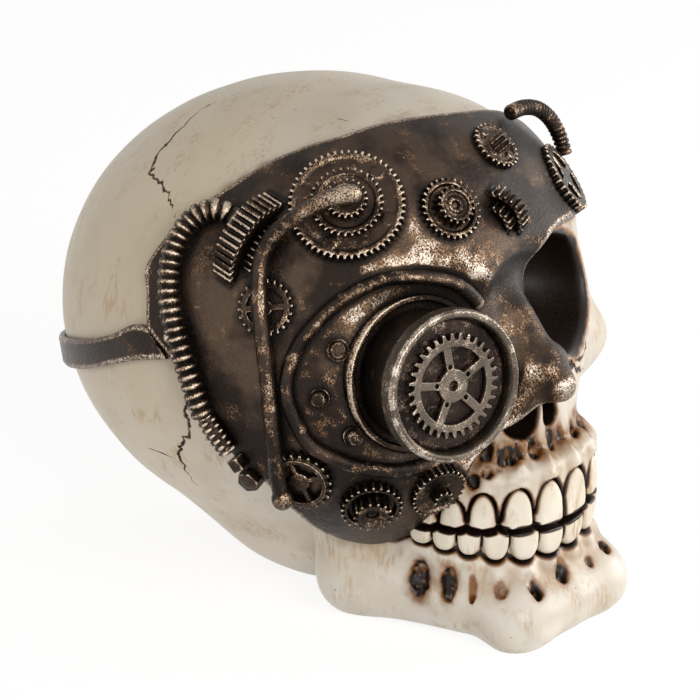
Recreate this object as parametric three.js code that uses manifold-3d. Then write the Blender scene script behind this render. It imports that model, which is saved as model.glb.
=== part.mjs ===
// A shelf skull with a half mask of clockwork: smooth bone, a bronze mask over one eye,
// a short eyepiece with a spoked gear behind its rim, hoses, a pipe and nested gears.
// The bone and the mask are blended from rounded forms, and everything that sits on
// the mask is aimed at it from one point inside the head, so it stays seated.

import * as THREE from 'three';
import { mergeVertices } from 'three/addons/utils/BufferGeometryUtils.js';
import Module from 'manifold-3d';

const wasm = await Module();
wasm.setup();

// Driving sizes, mm
const headWidth = 134;
const headLength = 148;
const headHeight = 124;
const headSetback = 5;
const aimSetback = 9;
const fitGap = 0.35;
const overrun = 3;

// Mask
const maskWall = 2.6;
const maskBacking = 6;
const strapThickness = 1.7;

// Teeth
const biteHeight = headHeight * 0.2452;
const upperCrownHeight = headHeight * 0.0758;
const lowerCrownHeight = headHeight * 0.0774;
const archHalfWidth = headWidth * 0.2313;
const archReach = headLength * 0.2365;
const archSetback = headLength * 0.3514;
const crownDepth = archReach * 0.206;
const incisorWidth = archHalfWidth * 0.3355;
const molarWidth = archReach * 0.3143;
const crownGap = 0.3;
const archBandThickness = 3.2;
const archPower = 2.8;
const gumInset = 0.5;
const gumHeight = headHeight * 0.0726;

// Eyepiece, measured from its front plane
const bezelRadius = 19.5;
const bezelBore = 17.1;
const bezelDepth = 5;
const lensSetback = 3;
const lensThickness = 1.7;
const lensGearRadius = 13.5;
const lensToothDepth = 1.3;
const lensGearTeeth = 28;
const lensGearThickness = 1.4;
const lensRimWidth = 1.9;
const lensHubRadius = 4.2;
const lensHubBore = 1.9;
const lensSpokeWidth = 2.3;
const lensPinRadius = 0.6;
const collarRadius = 20.8;
const collarRim = 2.3;
const collarLip = 2.8;
const collarFront = 17;
const collarWall = 4.6;
const barrelWaist = collarRadius - collarWall;
const barrelShoulder = bezelRadius * 0.959;
const wellSetback = 11;
const wellDepth = 9.6;
const wellMargin = 7.5;
const wellSink = 1.2;
const wellClearance = 1.4;
const eyepieceYaw = 17.2;
const eyepiecePitch = 6.4;

// Tubes
const hoseRadius = 2.8;
const hoseGroove = 0.7;
const hoseRibCount = 26;
const browHoseRadius = 2.1;
const browHoseGroove = 0.45;
const browHoseRibCount = 18;
const pipeRadius = 2.1;
const pipeBallRadius = 2.5;
const rimTubeRadius = 1.9;
const ferruleRadius = 2.6;

// Gears
const bigGearRadius = 14.8;
const bigGearTeeth = 36;
const bigGearProud = 1.5;
const middleGearRadius = 9.3;
const middleGearTeeth = 24;
const middleGearThickness = 1.3;
const hubGearRadius = 5.4;
const hubGearTeeth = 15;
const hubGearThickness = 2;
const fineToothDepth = 0.9;
const coarseToothDepth = 1.2;
const gearRoot = 6;
const drumRadius = 14.5;
const drumTeeth = 40;
const drumWidth = 6.5;
const drumProud = 7.25;
const drumPinionRadius = 10.2;
const drumPinionTeeth = 28;
const drumPinionWidth = 2.4;
const tiltRadius = 7.8;
const tiltTeeth = 22;
const tiltWidth = 4;
const tiltProud = 4.9;
const tiltPinionRadius = 5.6;
const tiltPinionTeeth = 16;
const tiltPinionWidth = 2.6;
const sideGearRadius = 7.3;
const ringGearRadius = 8.4;
const cupGearRadius = 7.9;
const cupDepth = 2.2;
const cupPinionRadius = 5;
const cupPinionHeight = 4.6;
const cheekGearRadius = 7.6;
const cheekHubRadius = 2.7;
const foreheadGearRadius = 8.2;
const foreheadDish = 1.1;
const foreheadHubRadius = 5.1;
const foreheadHubHeight = 3.6;
const crownGearRadius = 6.9;
const crownPinionRadius = 2.3;
const browGearRadius = 10;

// Fasteners
const studRadius = 2;
const studHeight = 4.2;
const boltRadius = 3.2;
const boltHeight = 2.6;
const socketWidth = 3.6;
const rivetRadius = 1.7;

const degree = Math.PI / 180;
const half = [headWidth / 2, headLength / 2, headHeight / 2];
const roundSize = (half[0] + half[1] + half[2]) / 3;
const floorShare = 1.1613;
const headCentre = [0, -headSetback, half[2] * floorShare];
const aim = [0, headCentre[1] - aimSetback, headCentre[2] - half[2] * 0.032];

// Rounded forms, placed in shares of the head's half sizes

function at(shares) {
  return shares.map((share, axis) => headCentre[axis] + share * half[axis]);
}

function oval(centreShares, radiusShares, swell = 0) {
  const centre = at(centreShares);
  const radius = radiusShares.map((share, axis) => share * half[axis] + swell);
  return (p) => {
    let outer = 0;
    let inner = 0;
    for (let axis = 0; axis < 3; axis++) {
      const q = (p[axis] - centre[axis]) / radius[axis];
      outer += q * q;
      inner += (q / radius[axis]) ** 2;
    }
    const k = Math.sqrt(outer);
    return k * (k - 1) / (Math.sqrt(inner) + 1e-9);
  };
}

function bar(startShares, endShares, startShare, endShare = startShare) {
  const start = at(startShares);
  const end = at(endShares);
  const startRadius = startShare * roundSize;
  const endRadius = endShare * roundSize;
  const run = end.map((value, axis) => value - start[axis]);
  const runSquared = run[0] ** 2 + run[1] ** 2 + run[2] ** 2;
  return (p) => {
    const q = [p[0] - start[0], p[1] - start[1], p[2] - start[2]];
    const t = Math.min(Math.max((q[0] * run[0] + q[1] * run[1] + q[2] * run[2]) / runSquared, 0), 1);
    const away = Math.hypot(q[0] - t * run[0], q[1] - t * run[1], q[2] - t * run[2]);
    return away - startRadius - t * (endRadius - startRadius);
  };
}

function arch(centreShares, semiShares, bottomShare, topShare, roundShare) {
  const centre = at(centreShares);
  const semi = [semiShares[0] * half[0], semiShares[1] * half[1]];
  const bottom = headCentre[2] + bottomShare * half[2];
  const top = headCentre[2] + topShare * half[2];
  const round = roundShare * roundSize;
  const power = archPower;
  return (p) => {
    const q = (Math.abs((p[0] - centre[0]) / semi[0]) ** power
      + Math.abs((p[1] - centre[1]) / semi[1]) ** power) ** (1 / power);
    const side = (q - 1) * Math.min(semi[0], semi[1]) + round;
    const end = Math.abs(p[2] - (bottom + top) / 2) - (top - bottom) / 2 + round;
    return Math.min(Math.max(side, end), 0) + Math.hypot(Math.max(side, 0), Math.max(end, 0)) - round;
  };
}

function twin(form) {
  return (p) => form([Math.abs(p[0]), p[1], p[2]]);
}

function join(a, b, blendShare) {
  const blend = blendShare * roundSize;
  return (p) => {
    const first = a(p);
    const second = b(p);
    const h = Math.max(blend - Math.abs(first - second), 0) / blend;
    return Math.min(first, second) - h * h * blend / 4;
  };
}

function carve(a, b, blendShare) {
  const blend = blendShare * roundSize;
  return (p) => {
    const first = -a(p);
    const second = b(p);
    const h = Math.max(blend - Math.abs(first - second), 0) / blend;
    return -(Math.min(first, second) - h * h * blend / 4);
  };
}

function swell(form, amount) {
  return (p) => form(p) - amount;
}

// Eyepiece axis, front centre and the well that it stands in

const eyeAxis = new THREE.Vector3(
  -Math.sin(eyepieceYaw * degree) * Math.cos(eyepiecePitch * degree),
  -Math.cos(eyepieceYaw * degree) * Math.cos(eyepiecePitch * degree),
  Math.sin(eyepiecePitch * degree));
const eyeFrontShares = [-0.597, -1.0324, 0.0935];
const eyeFront = new THREE.Vector3(...at(eyeFrontShares));
const collarSeat = wellSetback + wellDepth + wellSink;
const eyeFrame = frameFrom(eyeFront, eyeAxis);

function well(grow) {
  const centre = eyeFront.clone().addScaledVector(eyeAxis, -wellSetback);
  const wide = bezelRadius + wellMargin + grow;
  const deep = wellDepth + grow;
  return (p) => {
    const q = new THREE.Vector3(...p).sub(centre);
    const along = q.dot(eyeAxis);
    const across = Math.sqrt(Math.max(q.lengthSq() - along * along, 0));
    const k = Math.hypot(across / wide, along / deep);
    return k * (k - 1) / (Math.hypot(across / wide ** 2, along / deep ** 2) + 1e-9);
  };
}

// Bone: vault, forehead, brow, cheeks, upper jaw and base

function headForm() {
  let form = oval([0, 0, 0], [1, 1, 1]);
  form = join(form, oval([0, -0.365, 0.387], [0.701, 0.439, 0.581]), 0.177);
  form = join(form, twin(bar([0.134, -0.709, 0.444], [0.537, -0.628, 0.419], 0.0887, 0.0813)), 0.118);
  return carve(form, oval([0, -0.986, 0.29], [0.134, 0.203, 0.177]), 0.118);
}

function boneForm() {
  let form = headForm();
  form = join(form, twin(bar([0.567, -0.622, 0.371], [0.552, -0.716, 0.032], 0.0517, 0.0591)), 0.0887);
  form = join(form, twin(oval([0.575, -0.723, -0.129], [0.187, 0.128, 0.145])), 0.103);
  form = join(form, twin(bar([0.701, -0.635, -0.161], [0.881, -0.23, -0.161], 0.0665)), 0.118);
  form = join(form, oval([0, -0.635, -0.242], [0.418, 0.365, 0.274]), 0.148);
  form = join(form, arch([0, -0.622], [0.457, 0.466], -0.513, -0.323, 0.0443), 0.103);
  form = join(form, bar([0, -0.689, 0.323], [0, -0.824, 0.113], 0.0739, 0.0813), 0.118);
  form = join(form, oval([0, -0.095, -0.798], [0.507, 0.514, 0.419]), 0.207);
  form = carve(form, twin(oval([1.119, -0.527, 0.194], [0.269, 0.405, 0.387])), 0.177);
  return carve(form, well(maskWall + wellClearance), 0.0591);
}

const orbitShares = [
  [0.343, -0.932, 0.1855], [0.231, 0.378, 0.234]];
const nostrilShares = [
  [0.075, -1.041, -0.242], [0.082, 0.162, 0.113]];

function jawForm() {
  let form = twin(bar([0.254, -1.054, -1.032], [0.388, -0.446, -1.016], 0.103, 0.126));
  form = join(form, twin(bar([0.388, -0.446, -0.968], [0.552, -0.392, -0.419], 0.126, 0.103)), 0.148);
  form = join(form, twin(bar([0, -1.062, -1.035], [0.254, -1.054, -1.04], 0.124, 0.108)), 0.0887);
  form = join(form, twin(oval([0.23, -1.085, -1.055], [0.14, 0.0946, 0.11])), 0.0887);
  let ridge = arch([0, -0.608], [0.403, 0.453], -1.032, -0.835, 0.0443);
  ridge = carve(ridge, arch([0, -0.541], [0.209, 0.338], -1.6, 0, 0.0591), 0.0739);
  ridge = carve(ridge, oval([0, 0.135, -0.9], [0.9, 0.608, 0.9]), 0.0591);
  return join(form, ridge, 0.133);
}

// Mask: the head swollen by the mask's wall, a cheek, a nose guard and the eyepiece's well

function maskForm() {
  let form = swell(headForm(), maskWall);
  form = join(form, oval([-0.313, -0.392, -0.194], [0.627, 0.541, 0.645]), 0.148);
  let nose = bar([0, -0.75, 0.306], [0, -1.081, -0.0968], 0.0739, 0.0591);
  nose = join(nose, twin(bar([0.0746, -0.703, 0.226], [0.149, -0.878, -0.145], 0.103, 0.0887)), 0.0887);
  form = join(form, nose, 0.0887);
  return carve(form, well(0), 0.0739);
}

const bone = boneForm();
const jaw = jawForm();
const mask = maskForm();

// Directions from the aim point: longitude from the face toward the masked side, latitude upward

function direction(lon, lat) {
  const ray = [
    -Math.sin(lon * degree) * Math.cos(lat * degree) * half[0],
    -Math.cos(lon * degree) * Math.cos(lat * degree) * half[1],
    Math.sin(lat * degree) * half[2]];
  const length = Math.hypot(...ray);
  return ray.map((value) => value / length);
}

function reach(form, lon, lat) {
  const d = direction(lon, lat);
  const point = (t) => [aim[0] + d[0] * t, aim[1] + d[1] * t, aim[2] + d[2] * t];
  let outside = headLength;
  let value = form(point(outside));
  const fine = headLength * 1e-5;
  while (value > fine && outside > 0) {
    outside -= value * 0.5;
    value = form(point(outside));
  }
  return outside;
}

function seat(lon, lat, form = mask) {
  const d = direction(lon, lat);
  const t = reach(form, lon, lat);
  const point = new THREE.Vector3(aim[0] + d[0] * t, aim[1] + d[1] * t, aim[2] + d[2] * t);
  const slope = slopeOf(form, point.toArray());
  return { point, normal: new THREE.Vector3(...slope).normalize() };
}

// Solids

function solid(geometry) {
  const bare = geometry.clone();
  bare.deleteAttribute('normal');
  bare.deleteAttribute('uv');
  const merged = mergeVertices(bare, roundSize * 1e-5);
  const build = (index) => new wasm.Manifold(new wasm.Mesh({
    numProp: 3,
    vertProperties: new Float32Array(merged.attributes.position.array),
    triVerts: new Uint32Array(index) }));
  const index = merged.index.array;
  const body = build(index);
  return body.volume() > 0 ? body : build(Array.from(index).reverse());
}

// The main body of a cut piece, without the slivers that a grazing cut leaves

function whole(body) {
  return solid(geometryOf(body)).decompose()
    .reduce((most, part) => (part.volume() > most.volume() ? part : most));
}

function geometryOf(body) {
  const mesh = body.getMesh();
  const geometry = new THREE.BufferGeometry();
  geometry.setAttribute('position', new THREE.BufferAttribute(new Float32Array(mesh.vertProperties), 3));
  geometry.setIndex(new THREE.BufferAttribute(new Uint32Array(mesh.triVerts), 1));
  geometry.computeVertexNormals();
  return geometry;
}

function shell(points, faces) {
  const geometry = new THREE.BufferGeometry();
  geometry.setAttribute('position', new THREE.BufferAttribute(new Float32Array(points.flat()), 3));
  geometry.setIndex(faces.flat());
  return geometry;
}

function closedForm(form, columns, rows) {
  const points = [];
  const faces = [];
  const add = (lon, lat) => {
    const d = direction(lon, lat);
    const t = reach(form, lon, lat);
    points.push([aim[0] + d[0] * t, aim[1] + d[1] * t, aim[2] + d[2] * t]);
    return points.length - 1;
  };
  const faceCrowding = 0.42;
  const grid = [];
  for (let row = 1; row < rows; row++) {
    const lat = -90 + 180 * row / rows;
    grid.push(Array.from({ length: columns }, (_, column) => {
      const turn = 2 * Math.PI * column / columns;
      return add((turn - faceCrowding * Math.sin(turn)) / degree, lat);
    }));
  }
  const south = add(0, -90);
  const north = add(0, 90);
  for (let column = 0; column < columns; column++) {
    const next = (column + 1) % columns;
    faces.push([south, grid[0][column], grid[0][next]]);
    faces.push([north, grid[rows - 2][next], grid[rows - 2][column]]);
    for (let row = 0; row < rows - 2; row++) {
      faces.push([grid[row][column], grid[row + 1][column], grid[row + 1][next]]);
      faces.push([grid[row][column], grid[row + 1][next], grid[row][next]]);
    }
  }
  return solid(shell(points, faces));
}

function patch(columns, rows, directionAt, innerAt, outerAt) {
  const points = [];
  const faces = [];
  const layers = [innerAt, outerAt].map((radiusAt) => {
    const layer = [];
    for (let column = 0; column <= columns; column++) {
      layer.push(Array.from({ length: rows + 1 }, (_, row) => {
        const u = column / columns;
        const v = row / rows;
        const [lon, lat] = directionAt(u, v);
        const d = direction(lon, lat);
        const t = radiusAt(lon, lat, u, v);
        points.push([aim[0] + d[0] * t, aim[1] + d[1] * t, aim[2] + d[2] * t]);
        return points.length - 1;
      }));
    }
    return layer;
  });
  const span = (a, b) => Math.hypot(...points[a].map((value, axis) => value - points[b][axis]));
  const quad = (a, b, c, d) => (span(a, c) < span(b, d)
    ? faces.push([a, b, c], [a, c, d])
    : faces.push([a, b, d], [b, c, d]));
  const [inner, outer] = layers;
  for (let column = 0; column < columns; column++) {
    for (let row = 0; row < rows; row++) {
      quad(outer[column][row], outer[column][row + 1], outer[column + 1][row + 1], outer[column + 1][row]);
      quad(inner[column][row], inner[column + 1][row], inner[column + 1][row + 1], inner[column][row + 1]);
    }
    quad(inner[column][0], outer[column][0], outer[column + 1][0], inner[column + 1][0]);
    quad(inner[column][rows], inner[column + 1][rows], outer[column + 1][rows], outer[column][rows]);
  }
  for (let row = 0; row < rows; row++) {
    quad(inner[0][row], inner[0][row + 1], outer[0][row + 1], outer[0][row]);
    quad(inner[columns][row], outer[columns][row], outer[columns][row + 1], inner[columns][row + 1]);
  }
  return solid(shell(points, faces.map((face) => face.slice().reverse())));
}

// Grid lines, each stretch with its own spacing

function gridLines(start, stretches) {
  const lines = [start];
  stretches.forEach(([end, step]) => {
    while (lines[lines.length - 1] < end) lines.push(lines[lines.length - 1] + step);
  });
  return lines;
}

function slopeOf(form, point) {
  const step = headLength / 400;
  return [0, 1, 2].map((axis) => {
    const ahead = [...point];
    const behind = [...point];
    ahead[axis] += step;
    behind[axis] -= step;
    return (form(ahead) - form(behind)) / (2 * step);
  });
}

// A closed skin of even facets: one point in each cell that the form's surface crosses

function netForm(form, lines) {
  const sizes = lines.map((line) => line.length);
  const key = (cell) => (cell[0] * sizes[1] + cell[1]) * sizes[2] + cell[2];
  const place = (cell) => cell.map((index, axis) => lines[axis][index]);
  const cells = [];
  for (let i = 0; i < sizes[0]; i++) {
    for (let j = 0; j < sizes[1]; j++) {
      for (let k = 0; k < sizes[2]; k++) cells.push([i, j, k]);
    }
  }
  const values = cells.map((cell) => form(place(cell)));
  const corners = Array.from({ length: 8 }, (_, bits) => [bits & 1, (bits >> 1) & 1, bits >> 2]);
  const shift = (cell, move) => cell.map((index, axis) => index + move[axis]);
  const points = [];
  const normals = [];
  const pointOf = new Map();
  cells.forEach((cell) => {
    if (cell.some((index, axis) => index > sizes[axis] - 2)) return;
    const around = corners.map((move) => shift(cell, move));
    const crossings = [];
    around.forEach((first, a) => around.slice(a + 1).forEach((second) => {
      const apart = first.reduce((sum, index, axis) => sum + Math.abs(index - second[axis]), 0);
      const start = values[key(first)];
      const end = values[key(second)];
      if (apart > 1 || (start < 0) === (end < 0)) return;
      const from = place(first);
      const to = place(second);
      crossings.push(from.map((value, axis) => value + (to[axis] - value) * start / (start - end)));
    }));
    if (!crossings.length) return;
    let point = [0, 1, 2].map((axis) => crossings.reduce((sum, q) => sum + q[axis], 0) / crossings.length);
    let slope = [0, 0, 0];
    for (let round = 0; round < 3; round++) {
      slope = slopeOf(form, point);
      const steep = slope.reduce((sum, q) => sum + q * q, 0);
      point = point.map((q, axis) => q - slope[axis] * form(point) / (steep + 0.2));
    }
    pointOf.set(key(cell), points.push(point) - 1);
    normals.push(new THREE.Vector3(...slope).normalize().toArray());
  });
  const faces = [];
  cells.forEach((cell) => [0, 1, 2].forEach((axis) => {
    const along = [0, 0, 0];
    along[axis] = 1;
    const next = shift(cell, along);
    if (next[axis] >= sizes[axis]) return;
    const inside = values[key(cell)] < 0;
    if (inside === (values[key(next)] < 0)) return;
    const one = [0, 0, 0];
    const two = [0, 0, 0];
    one[(axis + 1) % 3] = -1;
    two[(axis + 2) % 3] = -1;
    const ring = [cell, shift(cell, one), shift(shift(cell, one), two), shift(cell, two)]
      .map((corner) => pointOf.get(key(corner)));
    if (!inside) ring.reverse();
    const span = (a, b) => Math.hypot(...points[a].map((value, side) => value - points[b][side]));
    const [a, b, c, d] = ring;
    if (span(a, c) < span(b, d)) faces.push([a, b, c], [a, c, d]);
    else faces.push([a, b, d], [b, c, d]);
  }));
  return { points, normals, faces };
}

function netSolid(net, raise) {
  const points = net.points.map((point, index) => (
    point.map((value, axis) => value + net.normals[index][axis] * raise)));
  return solid(shell(points, net.faces));
}

// A tube along a curve: one ring of points at each step, with a cap at each end

function tube(points, radii, sides) {
  const curve = new THREE.CatmullRomCurve3(points, false, 'centripetal');
  const steps = radii.length - 1;
  const frames = curve.computeFrenetFrames(steps, false);
  const ringPoints = [];
  const faces = [];
  radii.forEach((radius, step) => {
    const centre = curve.getPointAt(step / steps);
    for (let side = 0; side < sides; side++) {
      const turn = 2 * Math.PI * side / sides;
      const point = centre.clone()
        .addScaledVector(frames.normals[step], Math.cos(turn) * radius)
        .addScaledVector(frames.binormals[step], Math.sin(turn) * radius);
      ringPoints.push(point.toArray());
    }
  });
  for (let step = 0; step < steps; step++) {
    for (let side = 0; side < sides; side++) {
      const next = (side + 1) % sides;
      const a = step * sides + side;
      const b = step * sides + next;
      const c = a + sides;
      const d = b + sides;
      faces.push([a, b, d], [a, d, c]);
    }
  }
  const first = ringPoints.push(curve.getPointAt(0).toArray()) - 1;
  const last = ringPoints.push(curve.getPointAt(1).toArray()) - 1;
  for (let side = 0; side < sides; side++) {
    const next = (side + 1) % sides;
    faces.push([first, next, side]);
    faces.push([last, steps * sides + side, steps * sides + next]);
  }
  return solid(shell(ringPoints, faces));
}

function turned(profile, segments) {
  const outline = profile.map(([radius, height]) => new THREE.Vector2(radius, height));
  const geometry = new THREE.LatheGeometry([...outline, outline[0]], segments);
  geometry.rotateX(Math.PI / 2);
  return solid(geometry);
}

// A gear outline with flat-topped teeth, bored and windowed by its holes

function gearOutline(teeth, radius, depth) {
  const toothShares = [-0.34, -0.17, 0.17, 0.34];
  const points = [];
  for (let tooth = 0; tooth < teeth; tooth++) {
    toothShares.forEach((share, corner) => {
      const turn = 2 * Math.PI * (tooth + share) / teeth;
      const out = corner === 1 || corner === 2 ? radius : radius - depth;
      points.push(new THREE.Vector2(Math.cos(turn) * out, Math.sin(turn) * out));
    });
  }
  return new THREE.Shape(points);
}

function circleHole(x, y, radius, segments) {
  const points = Array.from({ length: segments }, (_, index) => {
    const turn = -2 * Math.PI * index / segments;
    return new THREE.Vector2(x + Math.cos(turn) * radius, y + Math.sin(turn) * radius);
  });
  return new THREE.Path(points);
}

function windowHole(inner, outer, spokeWidth, count, index) {
  const step = 2 * Math.PI / count;
  const points = [];
  const arcPoints = 3;
  [outer, inner].forEach((radius, ring) => {
    const margin = Math.asin(Math.min(spokeWidth / 2 / radius, 0.9));
    const from = index * step + margin;
    const to = (index + 1) * step - margin;
    for (let point = 0; point <= arcPoints; point++) {
      const share = point / arcPoints;
      const turn = ring ? to + (from - to) * share : from + (to - from) * share;
      points.push(new THREE.Vector2(Math.cos(turn) * radius, Math.sin(turn) * radius));
    }
  });
  return new THREE.Path(points.reverse());
}

function plate(shape, thickness) {
  return solid(new THREE.ExtrudeGeometry(shape, { depth: thickness, bevelEnabled: false, steps: 1 }));
}

function disc(radius, bottom, top, segments = 24) {
  return turned([[0, bottom], [radius, bottom], [radius, top], [0, top]], segments);
}

// Frames: z along the outward axis, x level and to the right as seen from outside

function frameFrom(origin, axis) {
  const right = new THREE.Vector3(0, 0, 1).cross(axis).normalize();
  const up = axis.clone().cross(right);
  return new THREE.Matrix4().makeBasis(right, up, axis).setPosition(origin);
}

function frameOn(lon, lat, { lift = 0, heading = null, tilt = 0, spin = 0 } = {}) {
  const { point, normal } = seat(lon, lat);
  const frame = frameFrom(point.clone().addScaledVector(normal, lift), normal);
  if (heading !== null) {
    const lay = new THREE.Matrix4().makeRotationZ(heading * degree);
    lay.multiply(new THREE.Matrix4().makeRotationY((90 - tilt) * degree));
    frame.multiply(lay);
  }
  return frame.multiply(new THREE.Matrix4().makeRotationZ(spin * degree));
}

function placed(body, frame) {
  return body.transform(frame.elements);
}

// Edges of the mask and of its strap, as directions: lower edge, then upper edge

const maskEdges = [
  [92.3, 6, 98.6, 11.7], [90.2, 4.3, 100.3, 18.9], [88.6, 2.6, 102.8, 23.7], [87, -0.5, 102.5, 27],
  [84.5, -5.4, 101.2, 31.1], [81.4, -10.5, 99.4, 36.3], [78.8, -14.1, 96.7, 41],
  [77, -16, 92.6, 45.6], [71.5, -20.7, 87.7, 51], [67.9, -25.7, 80.5, 56.9],
  [64, -31.4, 70.9, 60.9], [59.6, -37.4, 64.3, 62.6], [53.8, -42.2, 57.6, 63.9],
  [46.9, -46.4, 49.8, 65.7], [39.3, -46.5, 41.8, 67.2], [33.6, -42.7, 34.6, 68],
  [29.9, -36.5, 28.8, 68.4], [27.7, -31.5, 24, 68.6], [25.8, -25.9, 19.7, 68.7],
  [23.5, -20.1, 15.4, 68.6], [20.7, -17.4, 11.6, 68.5], [15.4, -12.9, 7.7, 68.4],
  [8.8, -9.9, 3.9, 68.1], [2.8, -7.1, 0, 68], [-2.8, -6, -3.9, 67.5], [-6.1, -1.2, -7.7, 67],
  [-6.1, 9.5, -11.6, 66.4], [-5, 20, -15.4, 65.9], [-3.5, 26.9, -19.7, 65.2],
  [-5, 32.4, -25.1, 64.2], [-14.3, 34.4, -31, 62.7], [-26.2, 32.7, -40.3, 59.7],
  [-38.7, 29.8, -49.8, 55.3], [-52.8, 25, -62.4, 47.9], [-66.2, 19.1, -74.5, 38.9],
  [-78.2, 13, -84.6, 29.9], [-86.4, 8.1, -91.8, 21.5], [-92.3, 6, -98.6, 11.7]];
const strapSide = [
  [92.3, 6, 98.6, 11.7], [99.5, 3.8, 102.3, 11.3], [107.6, 0.1, 108.1, 7.2], [115.2, -3.6, 114.8, 3.7],
  [126.2, -8, 125.3, -0.3], [138.7, -11.6, 138.2, -4.8], [158.1, -16.4, 158.1, -9.8]];
const strapBack = [180, -17.9, 180, -11.4];

function edgeCurves(edges, crowding = 0, station = 0) {
  const lower = new THREE.CatmullRomCurve3(edges.map((edge) => new THREE.Vector3(edge[0], edge[1], 0)));
  const upper = new THREE.CatmullRomCurve3(edges.map((edge) => new THREE.Vector3(edge[2], edge[3], 0)));
  const turn = 2 * Math.PI;
  return (u, v) => {
    const along = u - crowding / turn * (Math.sin(turn * (u - station)) + Math.sin(turn * station));
    const up = v * (1 - crowding * (1 - v));
    const a = lower.getPoint(Math.min(Math.max(along, 0), 1));
    const b = upper.getPoint(Math.min(Math.max(along, 0), 1));
    return [a.x + (b.x - a.x) * up, a.y + (b.y - a.y) * up];
  };
}

const maskColumnCount = 36;
const maskRowCount = 9;
const noseCrowdingShare = 0.42;
const noseStationShare = 0.66;
const maskDirection = edgeCurves(maskEdges, noseCrowdingShare, noseStationShare);
const maskReach = (lon, lat) => reach(mask, lon, lat);
const gapAngle = fitGap / half[0] / degree;
const strapRight = strapSide.map(([a, b, c, d], index) => index ? [a, b, c, d]
  : [a + gapAngle, b, c + gapAngle, d]);
const wholeTurn = 360;
const strapLeft = strapRight.map(([a, b, c, d]) => [wholeTurn - a, b, wholeTurn - c, d]).reverse();
const strapDirection = edgeCurves([...strapRight, strapBack, ...strapLeft]);

// The mask's outside raised by the gap, deep enough to cut anything that sits on it

const marginStepCount = 3;
const marginAngle = 2.2;
const maskCutter = patch(maskColumnCount + 2 * marginStepCount, maskRowCount + 2 * marginStepCount,
  (u, v) => {
    const column = u * (maskColumnCount + 2 * marginStepCount) - marginStepCount;
    const row = v * (maskRowCount + 2 * marginStepCount) - marginStepCount;
    const inside = [column / maskColumnCount, row / maskRowCount]
      .map((share) => Math.min(Math.max(share, 0), 1));
    const [lon, lat] = maskDirection(...inside);
    const step = marginAngle;
    const past = Math.max(column - maskColumnCount, 0);
    const lonStep = (Math.max(-column, 0) - past) * step;
    const latStep = row < 0 ? row * step : row > maskRowCount ? (row - maskRowCount) * step : 0;
    return [lon + lonStep, Math.min(lat + latStep, 88)];
  },
  (lon, lat) => maskReach(lon, lat) * 0.5,
  (lon, lat) => maskReach(lon, lat) + fitGap);

// Bone pieces

const boneColumnCount = 34;
const boneRowCount = 17;
const boneCutter = closedForm(swell(bone, fitGap), boneColumnCount, boneRowCount);

function collarPocket(sink) {
  return placed(disc(collarRadius + fitGap, -collarSeat - sink, overrun, 32), eyeFrame);
}

function maskInside(lon, lat) {
  const outside = maskReach(lon, lat);
  const onBone = reach(bone, lon, lat) - maskWall / 2;
  return Math.max(outside - maskBacking, Math.min(onBone, outside - maskWall));
}

// The ridge that carries the upper teeth, level with their faces

function gumRidge(grow) {
  const corners = 24;
  const points = Array.from({ length: corners }, (_, corner) => {
    const turn = 2 * Math.PI * (corner + 0.5) / corners;
    const round = (value) => Math.sign(value) * Math.abs(value) ** (2 / archPower);
    return new THREE.Vector2(
      round(Math.sin(turn)) * (archHalfWidth - gumInset + grow),
      round(Math.cos(turn)) * (archReach - gumInset + grow) - archSetback);
  });
  const bottom = biteHeight + upperCrownHeight + fitGap - grow;
  return plate(new THREE.Shape(points), gumHeight + grow * 2).translate([0, 0, bottom]);
}

const floorSlab = solid(new THREE.BoxGeometry(headWidth * 2, headLength * 2, headHeight)
  .translate(0, 0, -headHeight / 2));

function dimple([centreShares, radiusShares], mirror, columns, rows) {
  const centre = at(centreShares);
  const radius = radiusShares.map((share, axis) => share * half[axis]);
  const geometry = new THREE.SphereGeometry(1, columns, rows);
  geometry.scale(...radius);
  geometry.translate(mirror * centre[0], centre[1], centre[2]);
  return solid(geometry);
}

const jawStep = headLength * 0.04;
const jawHalfWidth = headWidth * 0.574;
const jawNet = netForm(jaw, [
  gridLines(-jawHalfWidth, [[jawHalfWidth, jawStep]]),
  gridLines(-half[1] * 1.32, [[-half[1] * 0.2, jawStep]]),
  gridLines(headCentre[2] - half[2] * 1.36, [[headCentre[2] - half[2] * 0.12, jawStep]])]);
const mandible = netSolid(jawNet, 0).subtract(floorSlab);
const jawCutter = netSolid(jawNet, fitGap * 1.3);
const cranium = whole(closedForm(bone, boneColumnCount, boneRowCount)
  .add(gumRidge(0))
  .subtract(dimple(orbitShares, 1, 16, 10))
  .subtract(dimple(nostrilShares, 1, 10, 6))
  .subtract(dimple(nostrilShares, -1, 10, 6))
  .subtract(jawCutter)
  .subtract(collarPocket(fitGap))
  .subtract(floorSlab));

// Mask plate: outer face on the mask form, inner face on the bone or one backing below

const jawAndBone = boneCutter.add(gumRidge(fitGap)).add(jawCutter);
const maskPlate = whole(patch(maskColumnCount, maskRowCount, maskDirection, maskInside, maskReach)
  .subtract(jawAndBone)
  .subtract(collarPocket(0)));

// Strap: a flat band from one end of the mask round the back of the head to the other

const strap = patch(34, 1, strapDirection,
  (lon, lat, u) => strapInside(u),
  (lon, lat, u) => strapInside(u) + strapThickness);

function strapInside(u) {
  const samples = [0, 0.5, 1].map((v) => reach(bone, ...strapDirection(u, v)));
  return Math.max(...samples) + fitGap;
}

// Teeth: one crown after another along the arch, joined behind by a band

function archPoint(run, inset) {
  const wide = archHalfWidth - inset;
  const deep = archReach - inset;
  const c = Math.cos(run);
  const s = Math.sin(run);
  const k = (Math.abs(c) ** archPower + Math.abs(s) ** archPower) ** (1 / archPower);
  return new THREE.Vector2(s / k * wide, -archSetback - c / k * deep);
}

// A crown: eight-sided in plan, narrow at the biting edge and drawn in at the gum

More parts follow.
